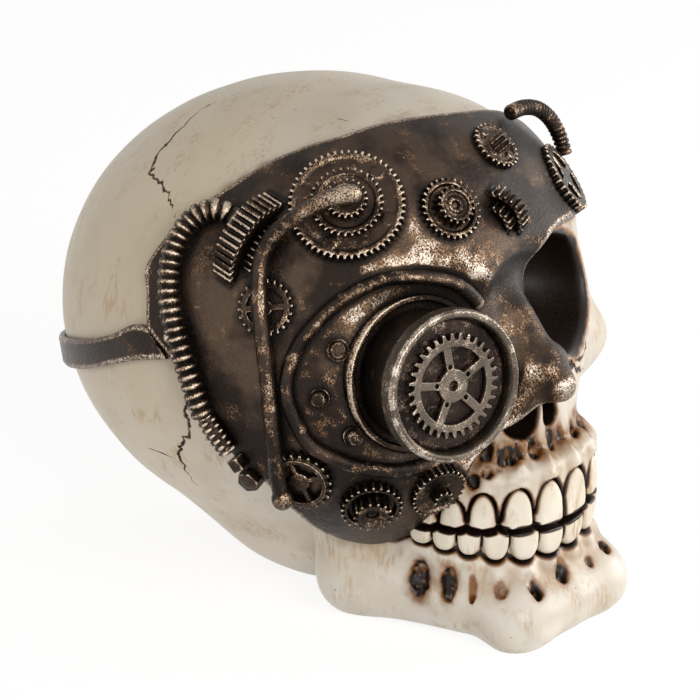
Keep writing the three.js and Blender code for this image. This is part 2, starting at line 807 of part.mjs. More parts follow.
function crownForm(width, depth, height) {
  const levelShares = [
  [0, 0.86, 0.55], [0.22, 1, 0.92], [1, 0.86, 0.95]];
  const sides = 8;
  const points = [];
  const faces = [];
  levelShares.forEach(([levelShare, widthShare, depthShare]) => {
    for (let side = 0; side < sides; side++) {
      const turn = 2 * Math.PI * (side + 0.5) / sides;
      const soften = (value) => Math.sign(value) * Math.abs(value) ** 0.75;
      points.push([soften(Math.cos(turn)) * width / 2 * widthShare,
        soften(Math.sin(turn)) * depth / 2 * depthShare, height * levelShare]);
    }
  });
  for (let level = 0; level < levelShares.length - 1; level++) {
    for (let side = 0; side < sides; side++) {
      const a = level * sides + side;
      const b = level * sides + (side + 1) % sides;
      faces.push([a, b, b + sides], [a, b + sides, a + sides]);
    }
  }
  const top = (levelShares.length - 1) * sides;
  for (let side = 1; side < sides - 1; side++) {
    faces.push([0, side + 1, side]);
    faces.push([top, top + side, top + side + 1]);
  }
  return shell(points, faces);
}

const archSampleCount = 720;

function archRow(bottom, top, firstWidth, sideCount, flip) {
  const samples = Array.from({ length: archSampleCount + 1 },
    (_, index) => archPoint(index / archSampleCount * Math.PI / 2, 0));
  const walked = [0];
  samples.slice(1).forEach((point, index) => walked.push(walked[index] + point.distanceTo(samples[index])));
  const runAt = (length) => {
    const index = walked.findIndex((value) => value >= length);
    return (index < 0 ? archSampleCount : index) / archSampleCount * Math.PI / 2;
  };
  const widthShares = [1, 0.9, 0.94, 0.9, 0.92];
  const height = top - bottom;
  const parts = [];
  let travelled = 0;
  for (let index = 0; index < sideCount; index++) {
    const width = index < widthShares.length ? firstWidth * widthShares[index] : molarWidth;
    const run = runAt(travelled + width / 2);
    travelled += width;
    [1, -1].forEach((mirror) => {
      const point = archPoint(run, crownDepth / 2);
      const before = archPoint(run - 0.03, crownDepth / 2);
      const after = archPoint(run + 0.03, crownDepth / 2);
      const heading = Math.atan2(after.y - before.y, after.x - before.x);
      const crown = crownForm(width - crownGap, crownDepth, height);
      if (flip) crown.rotateX(Math.PI).translate(0, 0, height);
      crown.rotateZ(heading);
      crown.translate(point.x, point.y, bottom);
      if (mirror < 0) crown.scale(-1, 1, 1);
      parts.push(solid(crown));
    });
  }
  const inner = [];
  const outer = [];
  const endRun = runAt(travelled - molarWidth / 2);
  const bandSteps = 6;
  const bandInset = crownDepth * 0.3;
  for (let step = -bandSteps; step <= bandSteps; step++) {
    const run = Math.abs(step) / bandSteps * endRun;
    const mirror = Math.sign(step) || 1;
    const near = archPoint(run, bandInset);
    const far = archPoint(run, bandInset + archBandThickness);
    outer.push(new THREE.Vector2(near.x * mirror, near.y));
    inner.push(new THREE.Vector2(far.x * mirror, far.y));
  }
  const band = new THREE.ExtrudeGeometry(new THREE.Shape([...outer, ...inner.reverse()]),
    { depth: height * 0.8, bevelEnabled: false, steps: 1 });
  band.translate(0, 0, bottom + height * 0.1);
  return parts.reduce((row, part) => row.add(part), solid(band));
}

const maskShadow = patch(maskColumnCount, maskRowCount, maskDirection,
  (lon, lat) => maskInside(lon, lat) - fitGap,
  (lon, lat) => maskReach(lon, lat) + maskBacking);
const teethCutter = jawAndBone.add(maskShadow);
const biteTop = biteHeight + fitGap / 2;
const upperTeeth = whole(archRow(biteTop, biteHeight + upperCrownHeight, incisorWidth, 5, false)
  .subtract(teethCutter));
const lowerTeeth = whole(archRow(biteHeight - lowerCrownHeight, biteHeight - fitGap / 2,
  incisorWidth * 0.86, 6, true).subtract(teethCutter));

// Eyepiece: collar, barrel, rim, lens plate and the spoked gear on it

const collar = placed(turned([
  [barrelWaist + fitGap, -collarSeat], [collarRadius, -collarSeat],
  [collarRadius, -collarFront - collarRim / 3],
  [collarRadius - collarRim / 3, -collarFront], [collarRadius - collarRim, -collarFront],
  [collarRadius - collarRim, -collarFront - collarLip],
  [barrelWaist + fitGap, -collarFront - collarLip]], 28), eyeFrame);
const barrelTop = -bezelDepth - fitGap;
const barrelFall = collarFront - bezelDepth;
const barrel = placed(turned([
  [0, -collarSeat], [barrelWaist, -collarSeat], [barrelWaist, -collarFront],
  [barrelWaist + (barrelShoulder - barrelWaist) * 0.22, barrelTop - barrelFall * 0.72],
  [barrelWaist + (barrelShoulder - barrelWaist) * 0.6, barrelTop - barrelFall * 0.4],
  [barrelShoulder, barrelTop - barrelFall * 0.12],
  [barrelShoulder, barrelTop], [0, barrelTop]], 26), eyeFrame);
const bezelEdge = (bezelRadius - bezelBore) * 0.22;
const bezel = placed(turned([
  [bezelBore, -bezelDepth], [bezelRadius, -bezelDepth], [bezelRadius, -bezelEdge],
  [bezelRadius - bezelEdge, 0], [bezelBore + bezelEdge, 0], [bezelBore, -bezelEdge]], 28), eyeFrame);
const lensRadius = bezelBore - fitGap;
const lensPlate = placed(disc(lensRadius, -lensSetback - lensThickness, -lensSetback, 30), eyeFrame);

function lensGearBody() {
  const shape = gearOutline(lensGearTeeth, lensGearRadius, lensToothDepth);
  const rimInside = lensGearRadius - lensToothDepth - lensRimWidth;
  const spokes = 5;
  shape.holes.push(circleHole(0, 0, lensHubBore, 14));
  for (let spoke = 0; spoke < spokes; spoke++) {
    shape.holes.push(windowHole(lensHubRadius, rimInside, lensSpokeWidth, spokes, spoke));
    const turn = 2 * Math.PI * spoke / spokes;
    const out = (lensHubRadius + rimInside) / 2 - lensHubBore / 2;
    shape.holes.push(circleHole(Math.cos(turn) * out, Math.sin(turn) * out, lensPinRadius, 6));
  }
  return plate(shape, lensGearThickness);
}
const gearSpin = new THREE.Matrix4().makeRotationZ(98 * degree).setPosition(0, 0, -lensSetback + fitGap);
const lensGear = placed(lensGearBody(), eyeFrame.clone().multiply(gearSpin));
const eyepieceCutter = placed(disc(collarRadius + fitGap, -collarSeat - overrun, overrun, 30), eyeFrame);

// Tubes laid on the mask: each point is a direction, with its height above the mask
// in shares of the gear stack and of the tube's own radius

const stackHeight = bigGearProud + middleGearThickness + hubGearThickness + 2 * fitGap;

function laid(route, radius, stack = stackHeight) {
  return route.map(([lon, lat, stackShare, radiusShare]) => {
    const { point, normal } = seat(lon, lat);
    return point.addScaledVector(normal, stackShare * stack + radiusShare * radius);
  });
}

function evenRadii(radius, steps, taper = 0) {
  return Array.from({ length: steps + 1 }, (_, step) => {
    const end = Math.min(step, steps - step) / steps;
    return taper && end < taper ? radius * Math.sqrt(Math.max(1 - (1 - end / taper) ** 2, 0.12)) : radius;
  });
}

function ribbedRadii(radius, groove, ribs) {
  return Array.from({ length: ribs * 2 + 1 }, (_, step) => (step % 2 ? radius : radius - groove));
}

const pipeRoute = [
  [50.4, 49.3, 1, 1.2], [54.6, 48.5, 1, 1.2], [58.7, 46.7, 0.85, 1.2], [66.2, 42, 0.42, 1.15],
  [71, 37.5, 0.28, 1.15], [72.8, 32.4, 0.27, 1.15], [72.2, 23.9, 0.27, 1.15],
  [70.3, 12.8, 0.15, 1], [68.9, 1.4, 0, 0.7], [67.6, -7.9, 0.15, 0.9], [66.6, -15.4, 0.4, 1],
  [65.9, -19.9, 0.5, 1]];
const hoseRoute = [
  [83.7, 40.7, 0, -0.2], [87.3, 41.1, 0, 0.8], [90.9, 39.8, 0, 1.15], [93.3, 37.1, 0, 1.15],
  [94.4, 33, 0, 1.15], [94.3, 28, 0, 1.15], [92.7, 22, 0, 1.15], [90.3, 15.7, 0, 1.15],
  [87.6, 9.5, 0, 1.15], [85.4, 3.4, 0, 1.15], [83.4, -2.1, 0, 1.15], [82.5, -4.5, 0, 1.15]];
const ferruleRoute = [
  [82.1, -5.3, 0, 1.05], [80.6, -8, 0, 0.9], [78.7, -10.8, 0, 0.8], [77.6, -12.8, 0, 0.7]];
const browRoute = [
  [-31, 58.4, 0, 1.15], [-38.7, 56.3, 0, 2], [-45.8, 52.6, 0, 2.6], [-50.3, 47.9, 0, 2.6],
  [-51.4, 43.7, 0, 2.1], [-50.1, 39.9, 0, 1.3]];

// Round the eyepiece: a turn about its axis, a share of the head out from the collar, and
// the height above the mask

const rimRoute = [
  [32.8, 0.0382, -0.4], [39.9, 0.0312, 0], [52.8, 0.0332, 0.35], [64.0, 0.0329, 0.4],
  [88.0, 0.0371, 0.4], [109.4, 0.0646, 0.4], [133.8, 0.1136, 0.4], [156.0, 0.1869, 0.4],
  [170.7, 0.2325, 0.4], [182.4, 0.2437, 0.4], [194.5, 0.2156, 0.4], [205.7, 0.1830, 0.4],
  [217.8, 0.1116, 0.4], [236.2, 0.0424, 0.4], [256.0, 0.0143, 0.4], [275.8, 0.0090, 0.2],
  [289.9, 0.0146, -0.4]];

function besideCollar(turn, outShare) {
  const out = collarRadius + half[1] * outShare;
  const point = new THREE.Vector3(Math.cos(turn * degree) * out, Math.sin(turn * degree) * out, -collarSeat)
    .applyMatrix4(eyeFrame);
  const q = point.toArray().map((value, axis) => (value - aim[axis]) / half[axis]);
  return [Math.atan2(-q[0], -q[1]) / degree, Math.asin(q[2] / Math.hypot(...q)) / degree];
}

function pipeBody(grow, sides, steps) {
  const line = laid(pipeRoute, pipeRadius);
  const end = line[line.length - 1];
  const ball = new THREE.SphereGeometry(pipeBallRadius + grow, 10, 7).translate(end.x, end.y, end.z);
  return tube(line, evenRadii(pipeRadius + grow, steps, 0.025), sides).add(solid(ball));
}
function hoseBody(grow, sides, ribs) {
  const radii = grow ? evenRadii(hoseRadius + grow, ribs) : ribbedRadii(hoseRadius, hoseGroove, ribs);
  return tube(laid(hoseRoute, hoseRadius), radii, sides);
}
function ferruleBody(grow, sides) {
  return tube(laid(ferruleRoute, ferruleRadius), evenRadii(ferruleRadius + grow, 6), sides);
}
function rimBody(grow, sides, steps) {
  const stations = rimRoute.map(([turn, outShare, height]) => (
    [...besideCollar(turn, outShare), 0, height]));
  return tube(laid(stations, rimTubeRadius), evenRadii(rimTubeRadius + grow, steps), sides);
}
function browBody(grow, sides, ribs) {
  const ribbed = ribbedRadii(browHoseRadius, browHoseGroove, ribs);
  const radii = grow ? evenRadii(browHoseRadius + grow, ribs) : ribbed;
  return tube(laid(browRoute, browHoseRadius), radii, sides);
}

// Everything laid on the mask is cut by what was placed before it, grown by the gap

const occupied = [maskCutter, eyepieceCutter, boneCutter.add(gumRidge(fitGap))];

function settle(body, cutter) {
  const result = whole(occupied.reduce((rest, tool) => rest.subtract(tool), body));
  if (cutter) occupied.push(cutter);
  return result;
}

const pipe = settle(pipeBody(0, 8, 22), pipeBody(fitGap * 1.7, 8, 20));
const hose = settle(hoseBody(0, 8, hoseRibCount), hoseBody(fitGap, 8, 14));
const ferrule = settle(ferruleBody(0, 10), ferruleBody(fitGap, 10));
const socketRim = settle(rimBody(0, 6, 18), rimBody(fitGap * 1.4, 6, 16));

// Gears: a body reaches below the mask face and is cut off along it

function spur(spec, base = 0) {
  const { radius, teeth, depth, thickness, dish, dishDepth, windows = 0, rim, hub, spoke } = spec;
  const shape = gearOutline(teeth, radius, depth);
  for (let index = 0; index < windows; index++) {
    shape.holes.push(windowHole(hub, radius - depth - rim, spoke, windows, index));
  }
  const body = plate(shape, thickness).translate([0, 0, base]);
  if (!dish) return body;
  return body.subtract(disc(dish, base + thickness - dishDepth, base + thickness + overrun, 20));
}

function keepOut(radius, bottom, top) {
  return disc(radius + fitGap, bottom - fitGap, top + fitGap, 18);
}

// One gear of a stack: its plate, and the space kept clear for it

function tier(frame, spec, from, to) {
  const body = spur({ ...spec, thickness: to - from }, from);
  const space = keepOut(spec.radius, from, to - fitGap * 2);
  return settle(placed(body, frame), placed(space, frame));
}

const bigFrame = frameOn(54, 46.3);
const middleBottom = bigGearProud + fitGap;
const hubBottom = middleBottom + middleGearThickness + fitGap;
const hubSpec = { radius: hubGearRadius, teeth: hubGearTeeth, depth: coarseToothDepth * 0.8 };
const middleSpec = { radius: middleGearRadius, teeth: middleGearTeeth, depth: fineToothDepth };
const bigSpec = { radius: bigGearRadius, teeth: bigGearTeeth, depth: fineToothDepth };
const hubGear = tier(bigFrame, hubSpec, hubBottom, hubBottom + hubGearThickness);
const middleGear = tier(bigFrame, middleSpec, middleBottom, middleBottom + middleGearThickness);
const bigGear = tier(bigFrame, bigSpec, -gearRoot, bigGearProud);

// Wheels half sunk in the mask, each lying on its edge with a smaller one beside it

const drumFrame = frameOn(78.4, 36.8, { lift: drumProud - drumRadius, heading: -20.5, tilt: 3.3 });
const drumSpec = { radius: drumRadius, teeth: drumTeeth, depth: fineToothDepth };
const drumPinionSpec = { radius: drumPinionRadius, teeth: drumPinionTeeth, depth: fineToothDepth };
const drumSide = drumWidth / 2;
const drumGear = tier(drumFrame, drumSpec, -drumSide, drumSide);
const drumPinion = tier(drumFrame, drumPinionSpec, drumSide + fitGap, drumSide + fitGap + drumPinionWidth);

const tiltFrame = frameOn(5.4, 42, { lift: tiltProud - tiltRadius, heading: -157, tilt: 2.6 });
const tiltSpec = { radius: tiltRadius, teeth: tiltTeeth, depth: coarseToothDepth };
const tiltPinionSpec = { radius: tiltPinionRadius, teeth: tiltPinionTeeth, depth: fineToothDepth };
const tiltedGear = tier(tiltFrame, tiltSpec, -tiltWidth, 0);
const tiltedPinion = tier(tiltFrame, tiltPinionSpec, fitGap, fitGap + tiltPinionWidth);

// Flat gears on the face of the mask, some dished and some with spokes

function faceGear(lon, lat, spec) {
  const frame = frameOn(lon, lat, { spin: spec.spin || 0 });
  return { frame, gear: tier(frame, spec, -gearRoot, spec.proud), top: spec.proud - (spec.dishDepth || 0) };
}

function topGear(base, spec) {
  return placed(spur(spec, base.top + fitGap), base.frame);
}

const sideSet = faceGear(71.6, 22.2, {
  spin: 10, radius: sideGearRadius, teeth: 20, depth: fineToothDepth, proud: fineToothDepth * 1.2,
  windows: 4, rim: fineToothDepth, hub: sideGearRadius * 0.3, spoke: fineToothDepth * 1.3 });
const ringSet = faceGear(63.2, -17.2, {
  spin: 20, radius: ringGearRadius, teeth: 20, depth: fineToothDepth, proud: fineToothDepth * 1.8,
  windows: 4, rim: coarseToothDepth, hub: ringGearRadius * 0.33, spoke: coarseToothDepth });
const cupSet = faceGear(48.7, -24.1, {
  radius: cupGearRadius, teeth: 20, depth: fineToothDepth, proud: cupDepth * 1.1,
  dish: cupGearRadius - fineToothDepth * 2, dishDepth: cupDepth });
const cupPinion = topGear(cupSet, {
  radius: cupPinionRadius, teeth: 12, depth: coarseToothDepth, thickness: cupPinionHeight,
  dish: cupPinionRadius * 0.45, dishDepth: coarseToothDepth });
const cheekSet = faceGear(33.3, -23.8, {
  radius: cheekGearRadius, teeth: 22, depth: fineToothDepth, proud: fineToothDepth * 1.8 });
const cheekHub = topGear(cheekSet, {
  radius: cheekHubRadius, teeth: 9, depth: fineToothDepth, thickness: cheekHubRadius * 0.8,
  dish: cheekHubRadius * 0.4, dishDepth: fineToothDepth });
const foreheadSet = faceGear(24.2, 45.2, {
  radius: foreheadGearRadius, teeth: 22, depth: fineToothDepth, proud: foreheadDish * 1.5,
  dish: foreheadGearRadius - fineToothDepth * 2.2, dishDepth: foreheadDish });
const foreheadHub = topGear(foreheadSet, {
  radius: foreheadHubRadius, teeth: 14, depth: fineToothDepth, thickness: foreheadHubHeight,
  dish: foreheadHubRadius * 0.68, dishDepth: foreheadDish });
const crownSet = faceGear(-7.9, 56, {
  radius: crownGearRadius, teeth: 18, depth: fineToothDepth, proud: fineToothDepth * 1.5 });
const crownPinion = topGear(crownSet, {
  radius: crownPinionRadius, teeth: 8, depth: fineToothDepth, thickness: crownPinionRadius });
const browHose = settle(browBody(0, 8, browHoseRibCount), browBody(fitGap, 8, 12));
const browSet = faceGear(-39.3, 39.1, {
  radius: browGearRadius, teeth: 18, depth: fineToothDepth, proud: fineToothDepth * 1.5,
  windows: 4, rim: fineToothDepth * 1.6, hub: browGearRadius * 0.3, spoke: fineToothDepth * 2 });

// Studs, the bolt, the hose socket and the strap's rivet

function fastener(lon, lat, profile, { sides, spin = 0 }) {
  const widest = Math.max(...profile.map(([radius]) => radius));
  const top = Math.max(...profile.map(([, height]) => height));
  const frame = frameOn(lon, lat, { spin });
  return settle(placed(turned(profile, sides), frame), placed(keepOut(widest, -widest, top), frame));
}

function stud(lon, lat, radius, height) {
  const flange = radius * 1.3;
  return fastener(lon, lat, [
    [0, -radius], [flange, -radius], [flange, radius * 0.3], [radius, radius * 0.45],
    [radius, height - radius * 0.6], [radius * 0.72, height - radius * 0.15], [0, height]], { sides: 12 });
}

const upperStud = stud(...besideCollar(155.1, 0.0214), studRadius * 1.15, studRadius * 1.3);
const middleStud = stud(...besideCollar(-175.4, 0.0812), studRadius, studHeight);
const lowerStud = stud(...besideCollar(-146.8, 0.0051), studRadius, studHeight);
const boltHead = fastener(74.3, -19.8, [
  [0, -boltRadius], [boltRadius, -boltRadius], [boltRadius, boltHeight * 0.8],
  [boltRadius * 0.8, boltHeight], [0, boltHeight]], { sides: 6, spin: 15 });
const socketBlock = solid(new THREE.BoxGeometry(socketWidth, socketWidth, socketWidth * 2));
const hoseSocket = settle(placed(socketBlock, frameOn(76, -15.1, { spin: 35 })));
const strapRivet = fastener(92.4, 11.2, [
  [0, -rivetRadius], [rivetRadius, -rivetRadius], [rivetRadius, rivetRadius * 0.3],
  [rivetRadius * 0.6, rivetRadius * 0.55], [0, rivetRadius * 0.6]], { sides: 12 });

// The finished group

const boneLook = { color: 0xd8cdb6, roughness: 0.45, metalness: 0 };
const toothLook = { color: 0xe2d8c2, roughness: 0.35, metalness: 0 };
const maskLook = { color: 0x3a302a, roughness: 0.5, metalness: 0.6 };
const bronzeLook = { color: 0x6b5440, roughness: 0.42, metalness: 0.75 };
const rimLook = { color: 0x92867a, roughness: 0.4, metalness: 0.8 };
const darkLook = { color: 0x26211e, roughness: 0.55, metalness: 0.5 };

const group = new THREE.Group();

function piece(name, body, look) {
  const mesh = new THREE.Mesh(geometryOf(body), new THREE.MeshStandardMaterial(look));
  mesh.name = name;
  group.add(mesh);
}

piece('cranium', cranium, boneLook);
piece('mandible', mandible, boneLook);
piece('upper_teeth', upperTeeth, toothLook);
piece('lower_teeth', lowerTeeth, toothLook);
piece('mask_plate', maskPlate, maskLook);
piece('head_strap', strap, maskLook);
piece('strap_rivet', strapRivet, bronzeLook);
piece('eyepiece_collar', collar, bronzeLook);
piece('eyepiece_barrel', barrel, maskLook);
piece('bezel_ring', bezel, rimLook);
piece('lens_plate', lensPlate, darkLook);
piece('lens_gear', lensGear, rimLook);
piece('socket_rim', socketRim, bronzeLook);
piece('curved_pipe', pipe, bronzeLook);
piece('corrugated_hose', hose, bronzeLook);
piece('hose_ferrule', ferrule, bronzeLook);
piece('hose_socket', hoseSocket, bronzeLook);
piece('hex_bolt', boltHead, bronzeLook);
piece('big_gear', bigGear, bronzeLook);
piece('middle_gear', middleGear, bronzeLook);
piece('hub_gear', hubGear, bronzeLook);
piece('drum_gear', drumGear, bronzeLook);
piece('drum_pinion', drumPinion, bronzeLook);
piece('temple_gear', sideSet.gear, bronzeLook);
piece('upper_stud', upperStud, bronzeLook);
piece('middle_stud', middleStud, bronzeLook);
piece('lower_stud', lowerStud, bronzeLook);
piece('ring_gear', ringSet.gear, bronzeLook);
piece('cup_gear', cupSet.gear, bronzeLook);
piece('cup_pinion', cupPinion, bronzeLook);
piece('cheek_gear', cheekSet.gear, bronzeLook);
piece('cheek_hub', cheekHub, bronzeLook);
piece('forehead_gear', foreheadSet.gear, bronzeLook);
piece('forehead_hub', foreheadHub, bronzeLook);
piece('tilted_gear', tiltedGear, bronzeLook);
piece('tilted_pinion', tiltedPinion, bronzeLook);
piece('crown_gear', crownSet.gear, bronzeLook);
piece('crown_pinion', crownPinion, bronzeLook);
piece('brow_hose', browHose, bronzeLook);
piece('brow_gear', browSet.gear, bronzeLook);

export default group;
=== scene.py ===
import math
import bmesh
import bpy
import numpy as np
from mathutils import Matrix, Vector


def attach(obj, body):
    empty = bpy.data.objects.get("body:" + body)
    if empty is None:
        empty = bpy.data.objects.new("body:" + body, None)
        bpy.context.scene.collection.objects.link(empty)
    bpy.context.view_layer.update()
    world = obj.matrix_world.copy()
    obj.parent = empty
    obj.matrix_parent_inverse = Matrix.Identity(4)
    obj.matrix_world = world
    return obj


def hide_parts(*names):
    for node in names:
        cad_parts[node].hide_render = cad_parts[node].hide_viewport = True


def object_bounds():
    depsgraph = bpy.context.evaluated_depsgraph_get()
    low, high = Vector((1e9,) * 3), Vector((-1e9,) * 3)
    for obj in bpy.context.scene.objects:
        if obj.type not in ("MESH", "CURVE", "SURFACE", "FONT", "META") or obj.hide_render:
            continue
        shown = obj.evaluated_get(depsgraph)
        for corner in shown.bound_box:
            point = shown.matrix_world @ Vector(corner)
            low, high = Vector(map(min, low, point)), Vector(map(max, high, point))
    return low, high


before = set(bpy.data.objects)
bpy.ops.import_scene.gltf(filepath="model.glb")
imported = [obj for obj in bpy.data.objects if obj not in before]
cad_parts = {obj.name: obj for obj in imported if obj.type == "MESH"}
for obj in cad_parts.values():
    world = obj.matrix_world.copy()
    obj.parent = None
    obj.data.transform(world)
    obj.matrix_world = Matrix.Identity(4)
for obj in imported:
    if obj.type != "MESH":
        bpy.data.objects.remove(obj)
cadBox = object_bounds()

import openvdb
from mathutils import Matrix, Vector, kdtree

# All forms are in millimetres and become metres when a mesh is made.
metre = 0.001
aim = np.array([0.0, -14.0, 70.0])
nearZero = 1e-9


# Rounded forms: negative inside, zero on the surface, positive outside

def oval(centre, radii):
    centre = np.array(centre, dtype=np.float32)
    radii = np.array(radii, dtype=np.float32)

    def value(p):
        q = (p - centre) / radii
        outer = np.sqrt((q * q).sum(-1))
        inner = np.sqrt(((q / radii) ** 2).sum(-1)) + nearZero
        return outer * (outer - 1) / inner
    return value


def bar(start, end, startRadius, endRadius=None):
    start = np.array(start, dtype=np.float32)
    run = np.array(end, dtype=np.float32) - start
    change = (startRadius if endRadius is None else endRadius) - startRadius

    def value(p):
        q = p - start
        t = np.clip(q @ run / (run @ run), 0, 1)
        away = np.sqrt(((q - t[:, None] * run) ** 2).sum(-1))
        return away - startRadius - change * t
    return value


def arch(centre, semis, bottom, top, rounding, power=2.8):
    def value(p):
        q = (np.abs((p[:, 0] - centre[0]) / semis[0]) ** power
             + np.abs((p[:, 1] - centre[1]) / semis[1]) ** power) ** (1 / power)
        side = (q - 1) * min(semis) + rounding
        end = np.abs(p[:, 2] - (bottom + top) / 2) - (top - bottom) / 2 + rounding
        outside = np.hypot(np.maximum(side, 0), np.maximum(end, 0))
        return np.minimum(np.maximum(side, end), 0) + outside - rounding
    return value


def twin(form):
    def value(p):
        q = p.copy()
        q[:, 0] = np.abs(q[:, 0])
        return form(q)
    return value


def blendLow(first, second, blend):
    h = np.maximum(blend - np.abs(first - second), 0) / blend
    return np.minimum(first, second) - h * h * blend / 4


def blendHigh(first, second, blend):
    return -blendLow(-first, -second, blend)


def join(a, b, blend):
    return lambda p: blendLow(a(p), b(p), blend)


def carve(a, b, blend):
    return lambda p: blendHigh(a(p), -b(p), blend)


def swell(form, amount):
    return lambda p: form(p) - amount


def lowest(*forms):
    def value(p):
        result = forms[0](p)
        for form in forms[1:]:
            result = np.minimum(result, form(p))
        return result
    return value


def slopeAt(form, p, step=0.25):
    slope = np.empty_like(p)
    for axis in range(3):
        offset = np.zeros(3, dtype=p.dtype)
        offset[axis] = step
        slope[:, axis] = form(p + offset) - form(p - offset)
    length = np.sqrt((slope ** 2).sum(-1)) + nearZero
    return slope / length[:, None], length / (2 * step)


# Smooth random hills, the same each run, for hand-worked surfaces

def hills(size, seed, height):
    noise = np.random.default_rng(seed).random((32, 32, 32)).astype(np.float32)

    def value(p):
        q = p / size
        low = np.floor(q).astype(int)
        t = q - low
        t = t * t * (3 - 2 * t)
        total = 0
        for corner in range(8):
            bit = np.array([corner & 1, corner >> 1 & 1, corner >> 2])
            weight = np.prod(np.where(bit, t, 1 - t), axis=-1)
            i = (low + bit) % 32
            total = total + weight * noise[i[:, 0], i[:, 1], i[:, 2]]
        return (total - 0.5) * 2 * height
    return value


# Directions from the aim point: longitude from the face toward the masked side, then latitude

def direction(lon, lat):
    lon, lat = np.radians(lon), np.radians(lat)
    return np.stack([-np.sin(lon) * np.cos(lat), -np.cos(lon) * np.cos(lat), np.sin(lat)], -1)


def lonLat(p):
    d = p - aim
    reachOut = np.sqrt((d ** 2).sum(-1)) + nearZero
    return np.degrees(np.arctan2(-d[:, 0], -d[:, 1])), np.degrees(np.arcsin(d[:, 2] / reachOut)), reachOut


def reach(form, lon, lat):
    d = direction(np.atleast_1d(lon), np.atleast_1d(lat))
    t = np.full(len(d), 148.0)
    for step in range(60):
        t = t - form(aim + d * t[:, None]) * 0.6
    return t


def seat(form, lon, lat):
    t = reach(form, lon, lat)
    point = aim + direction(np.atleast_1d(lon), np.atleast_1d(lat)) * t[:, None]
    normal = slopeAt(form, point)[0]
    return point, normal


def smoothLine(points, count):
    # A centripetal curve through the points, evenly numbered from knot to knot
    points = np.array(points, dtype=float)
    padded = np.vstack([2 * points[0] - points[1], points, 2 * points[-1] - points[-2]])
    result = []
    for share in np.linspace(0, 1, count):
        place = share * (len(points) - 1)
        index = min(int(place), len(points) - 2)
        t = place - index
        p0, p1, p2, p3 = padded[index:index + 4]
        d0, d1, d2 = [max(np.linalg.norm(b - a) ** 0.5, 1e-4) for a, b in ((p0, p1), (p1, p2), (p2, p3))]
        m1 = ((p1 - p0) / d0 - (p2 - p0) / (d0 + d1) + (p2 - p1) / d1) * d1
        m2 = ((p2 - p1) / d1 - (p3 - p1) / (d1 + d2) + (p3 - p2) / d2) * d1
        result.append(p1 + m1 * t + (3 * (p2 - p1) - 2 * m1 - m2) * t ** 2
                      + (2 * (p1 - p2) + m1 + m2) * t ** 3)
    return np.array(result)


# Meshes

def linkPiece(name, data):
    piece = bpy.data.objects.new(name, data)
    bpy.context.collection.objects.link(piece)
    return piece


def makePiece(name, points, faces):
    mesh = bpy.data.meshes.new(name)
    mesh.from_pydata((np.asarray(points) * metre).tolist(), [], [list(face) for face in faces])
    mesh.update()
    mesh.shade_smooth()
    return linkPiece(name, mesh)


def bakePiece(piece):
    # Turns a piece with its modifiers into one plain mesh
    graph = bpy.context.evaluated_depsgraph_get()
    graph.update()
    mesh = bpy.data.meshes.new_from_object(piece.evaluated_get(graph))
    piece.modifiers.clear()
    piece.data = mesh
    mesh.name = piece.name
    return piece


def castName(node):
    first, *rest = node.split("_")
    return first + "".join(word.capitalize() for word in rest) + "Cast"


def castPiece(name, form, grid):
    # The form is sampled block by block near its surface and skinned
    low = np.array(grid["low"], dtype=np.float32)
    pitch = grid["pitch"]
    limit = grid["limit"]
    side = 8
    counts = np.ceil((np.array(grid["high"]) - low) / (pitch * side)).astype(int)
    index = np.stack(np.meshgrid(*[np.arange(n) for n in counts], indexing="ij"), -1).reshape(-1, 3)
    far = side * pitch * 1.7
    middle = (low + (index + 0.5) * side * pitch).astype(np.float32)
    rough = form(middle)
    blocks = np.where(rough < 0, -far, far).astype(np.float32)[:, None] * np.ones((1, side ** 3), np.float32)
    offsets = np.stack(np.meshgrid(*[np.arange(side)] * 3, indexing="ij"), -1).reshape(-1, 3)
    near = np.flatnonzero(np.abs(rough) < far)
    batch = 500
    for start in range(0, len(near), batch):
        chosen = near[start:start + batch]
        p = low + (index[chosen][:, None, :] * side + offsets[None]) * pitch
        blocks[chosen] = form(p.reshape(-1, 3).astype(np.float32)).reshape(len(chosen), -1)
    dense = blocks.reshape(*counts, side, side, side).transpose(0, 3, 1, 4, 2, 5).reshape(counts * side)
    volume = openvdb.FloatGrid(far)
    volume.copyFromArray(np.ascontiguousarray(dense))
    points, triangles, quads = volume.convertToPolygons(isovalue=0.0, adaptivity=0.0)
    p = (low + points * pitch).astype(np.float32)
    for step in range(2):
        normal, steep = slopeAt(form, p)
        move = np.clip(form(p) / np.maximum(steep, 0.5), -pitch / 3, pitch / 3)
        p = p - normal * move[:, None]
    piece = makePiece(name, p, quads.tolist() + triangles.tolist())
    count = len(quads) * 2 + len(triangles)
    if count > limit:
        thin = piece.modifiers.new("thin", "DECIMATE")
        thin.ratio = limit / count
        bakePiece(piece)
        piece.data.shade_smooth()
    print(name, count, "triangles, kept", len(piece.data.loop_triangles) or len(piece.data.polygons))
    return piece


def pointsOf(piece):
    flat = np.empty(len(piece.data.vertices) * 3, dtype=np.float32)
    piece.data.vertices.foreach_get("co", flat)
    return flat.reshape(-1, 3) / metre


def normalsOf(piece):
    flat = np.empty(len(piece.data.vertices) * 3, dtype=np.float32)
    piece.data.vertices.foreach_get("normal", flat)
    return flat.reshape(-1, 3)


def nearestOf(points):
    tree = kdtree.KDTree(len(points))
    for index, point in enumerate(points):
        tree.insert(point, index)
    tree.balance()
    return tree


def turnOutwards(mesh, weld=0.0):
    # Doubled points are merged where asked, and every face is turned outwards
    work = bmesh.new()
    work.from_mesh(mesh)
    if weld:
        bmesh.ops.remove_doubles(work, verts=work.verts[:], dist=weld)
    bmesh.ops.recalc_face_normals(work, faces=work.faces[:])
    work.to_mesh(mesh)
    work.free()


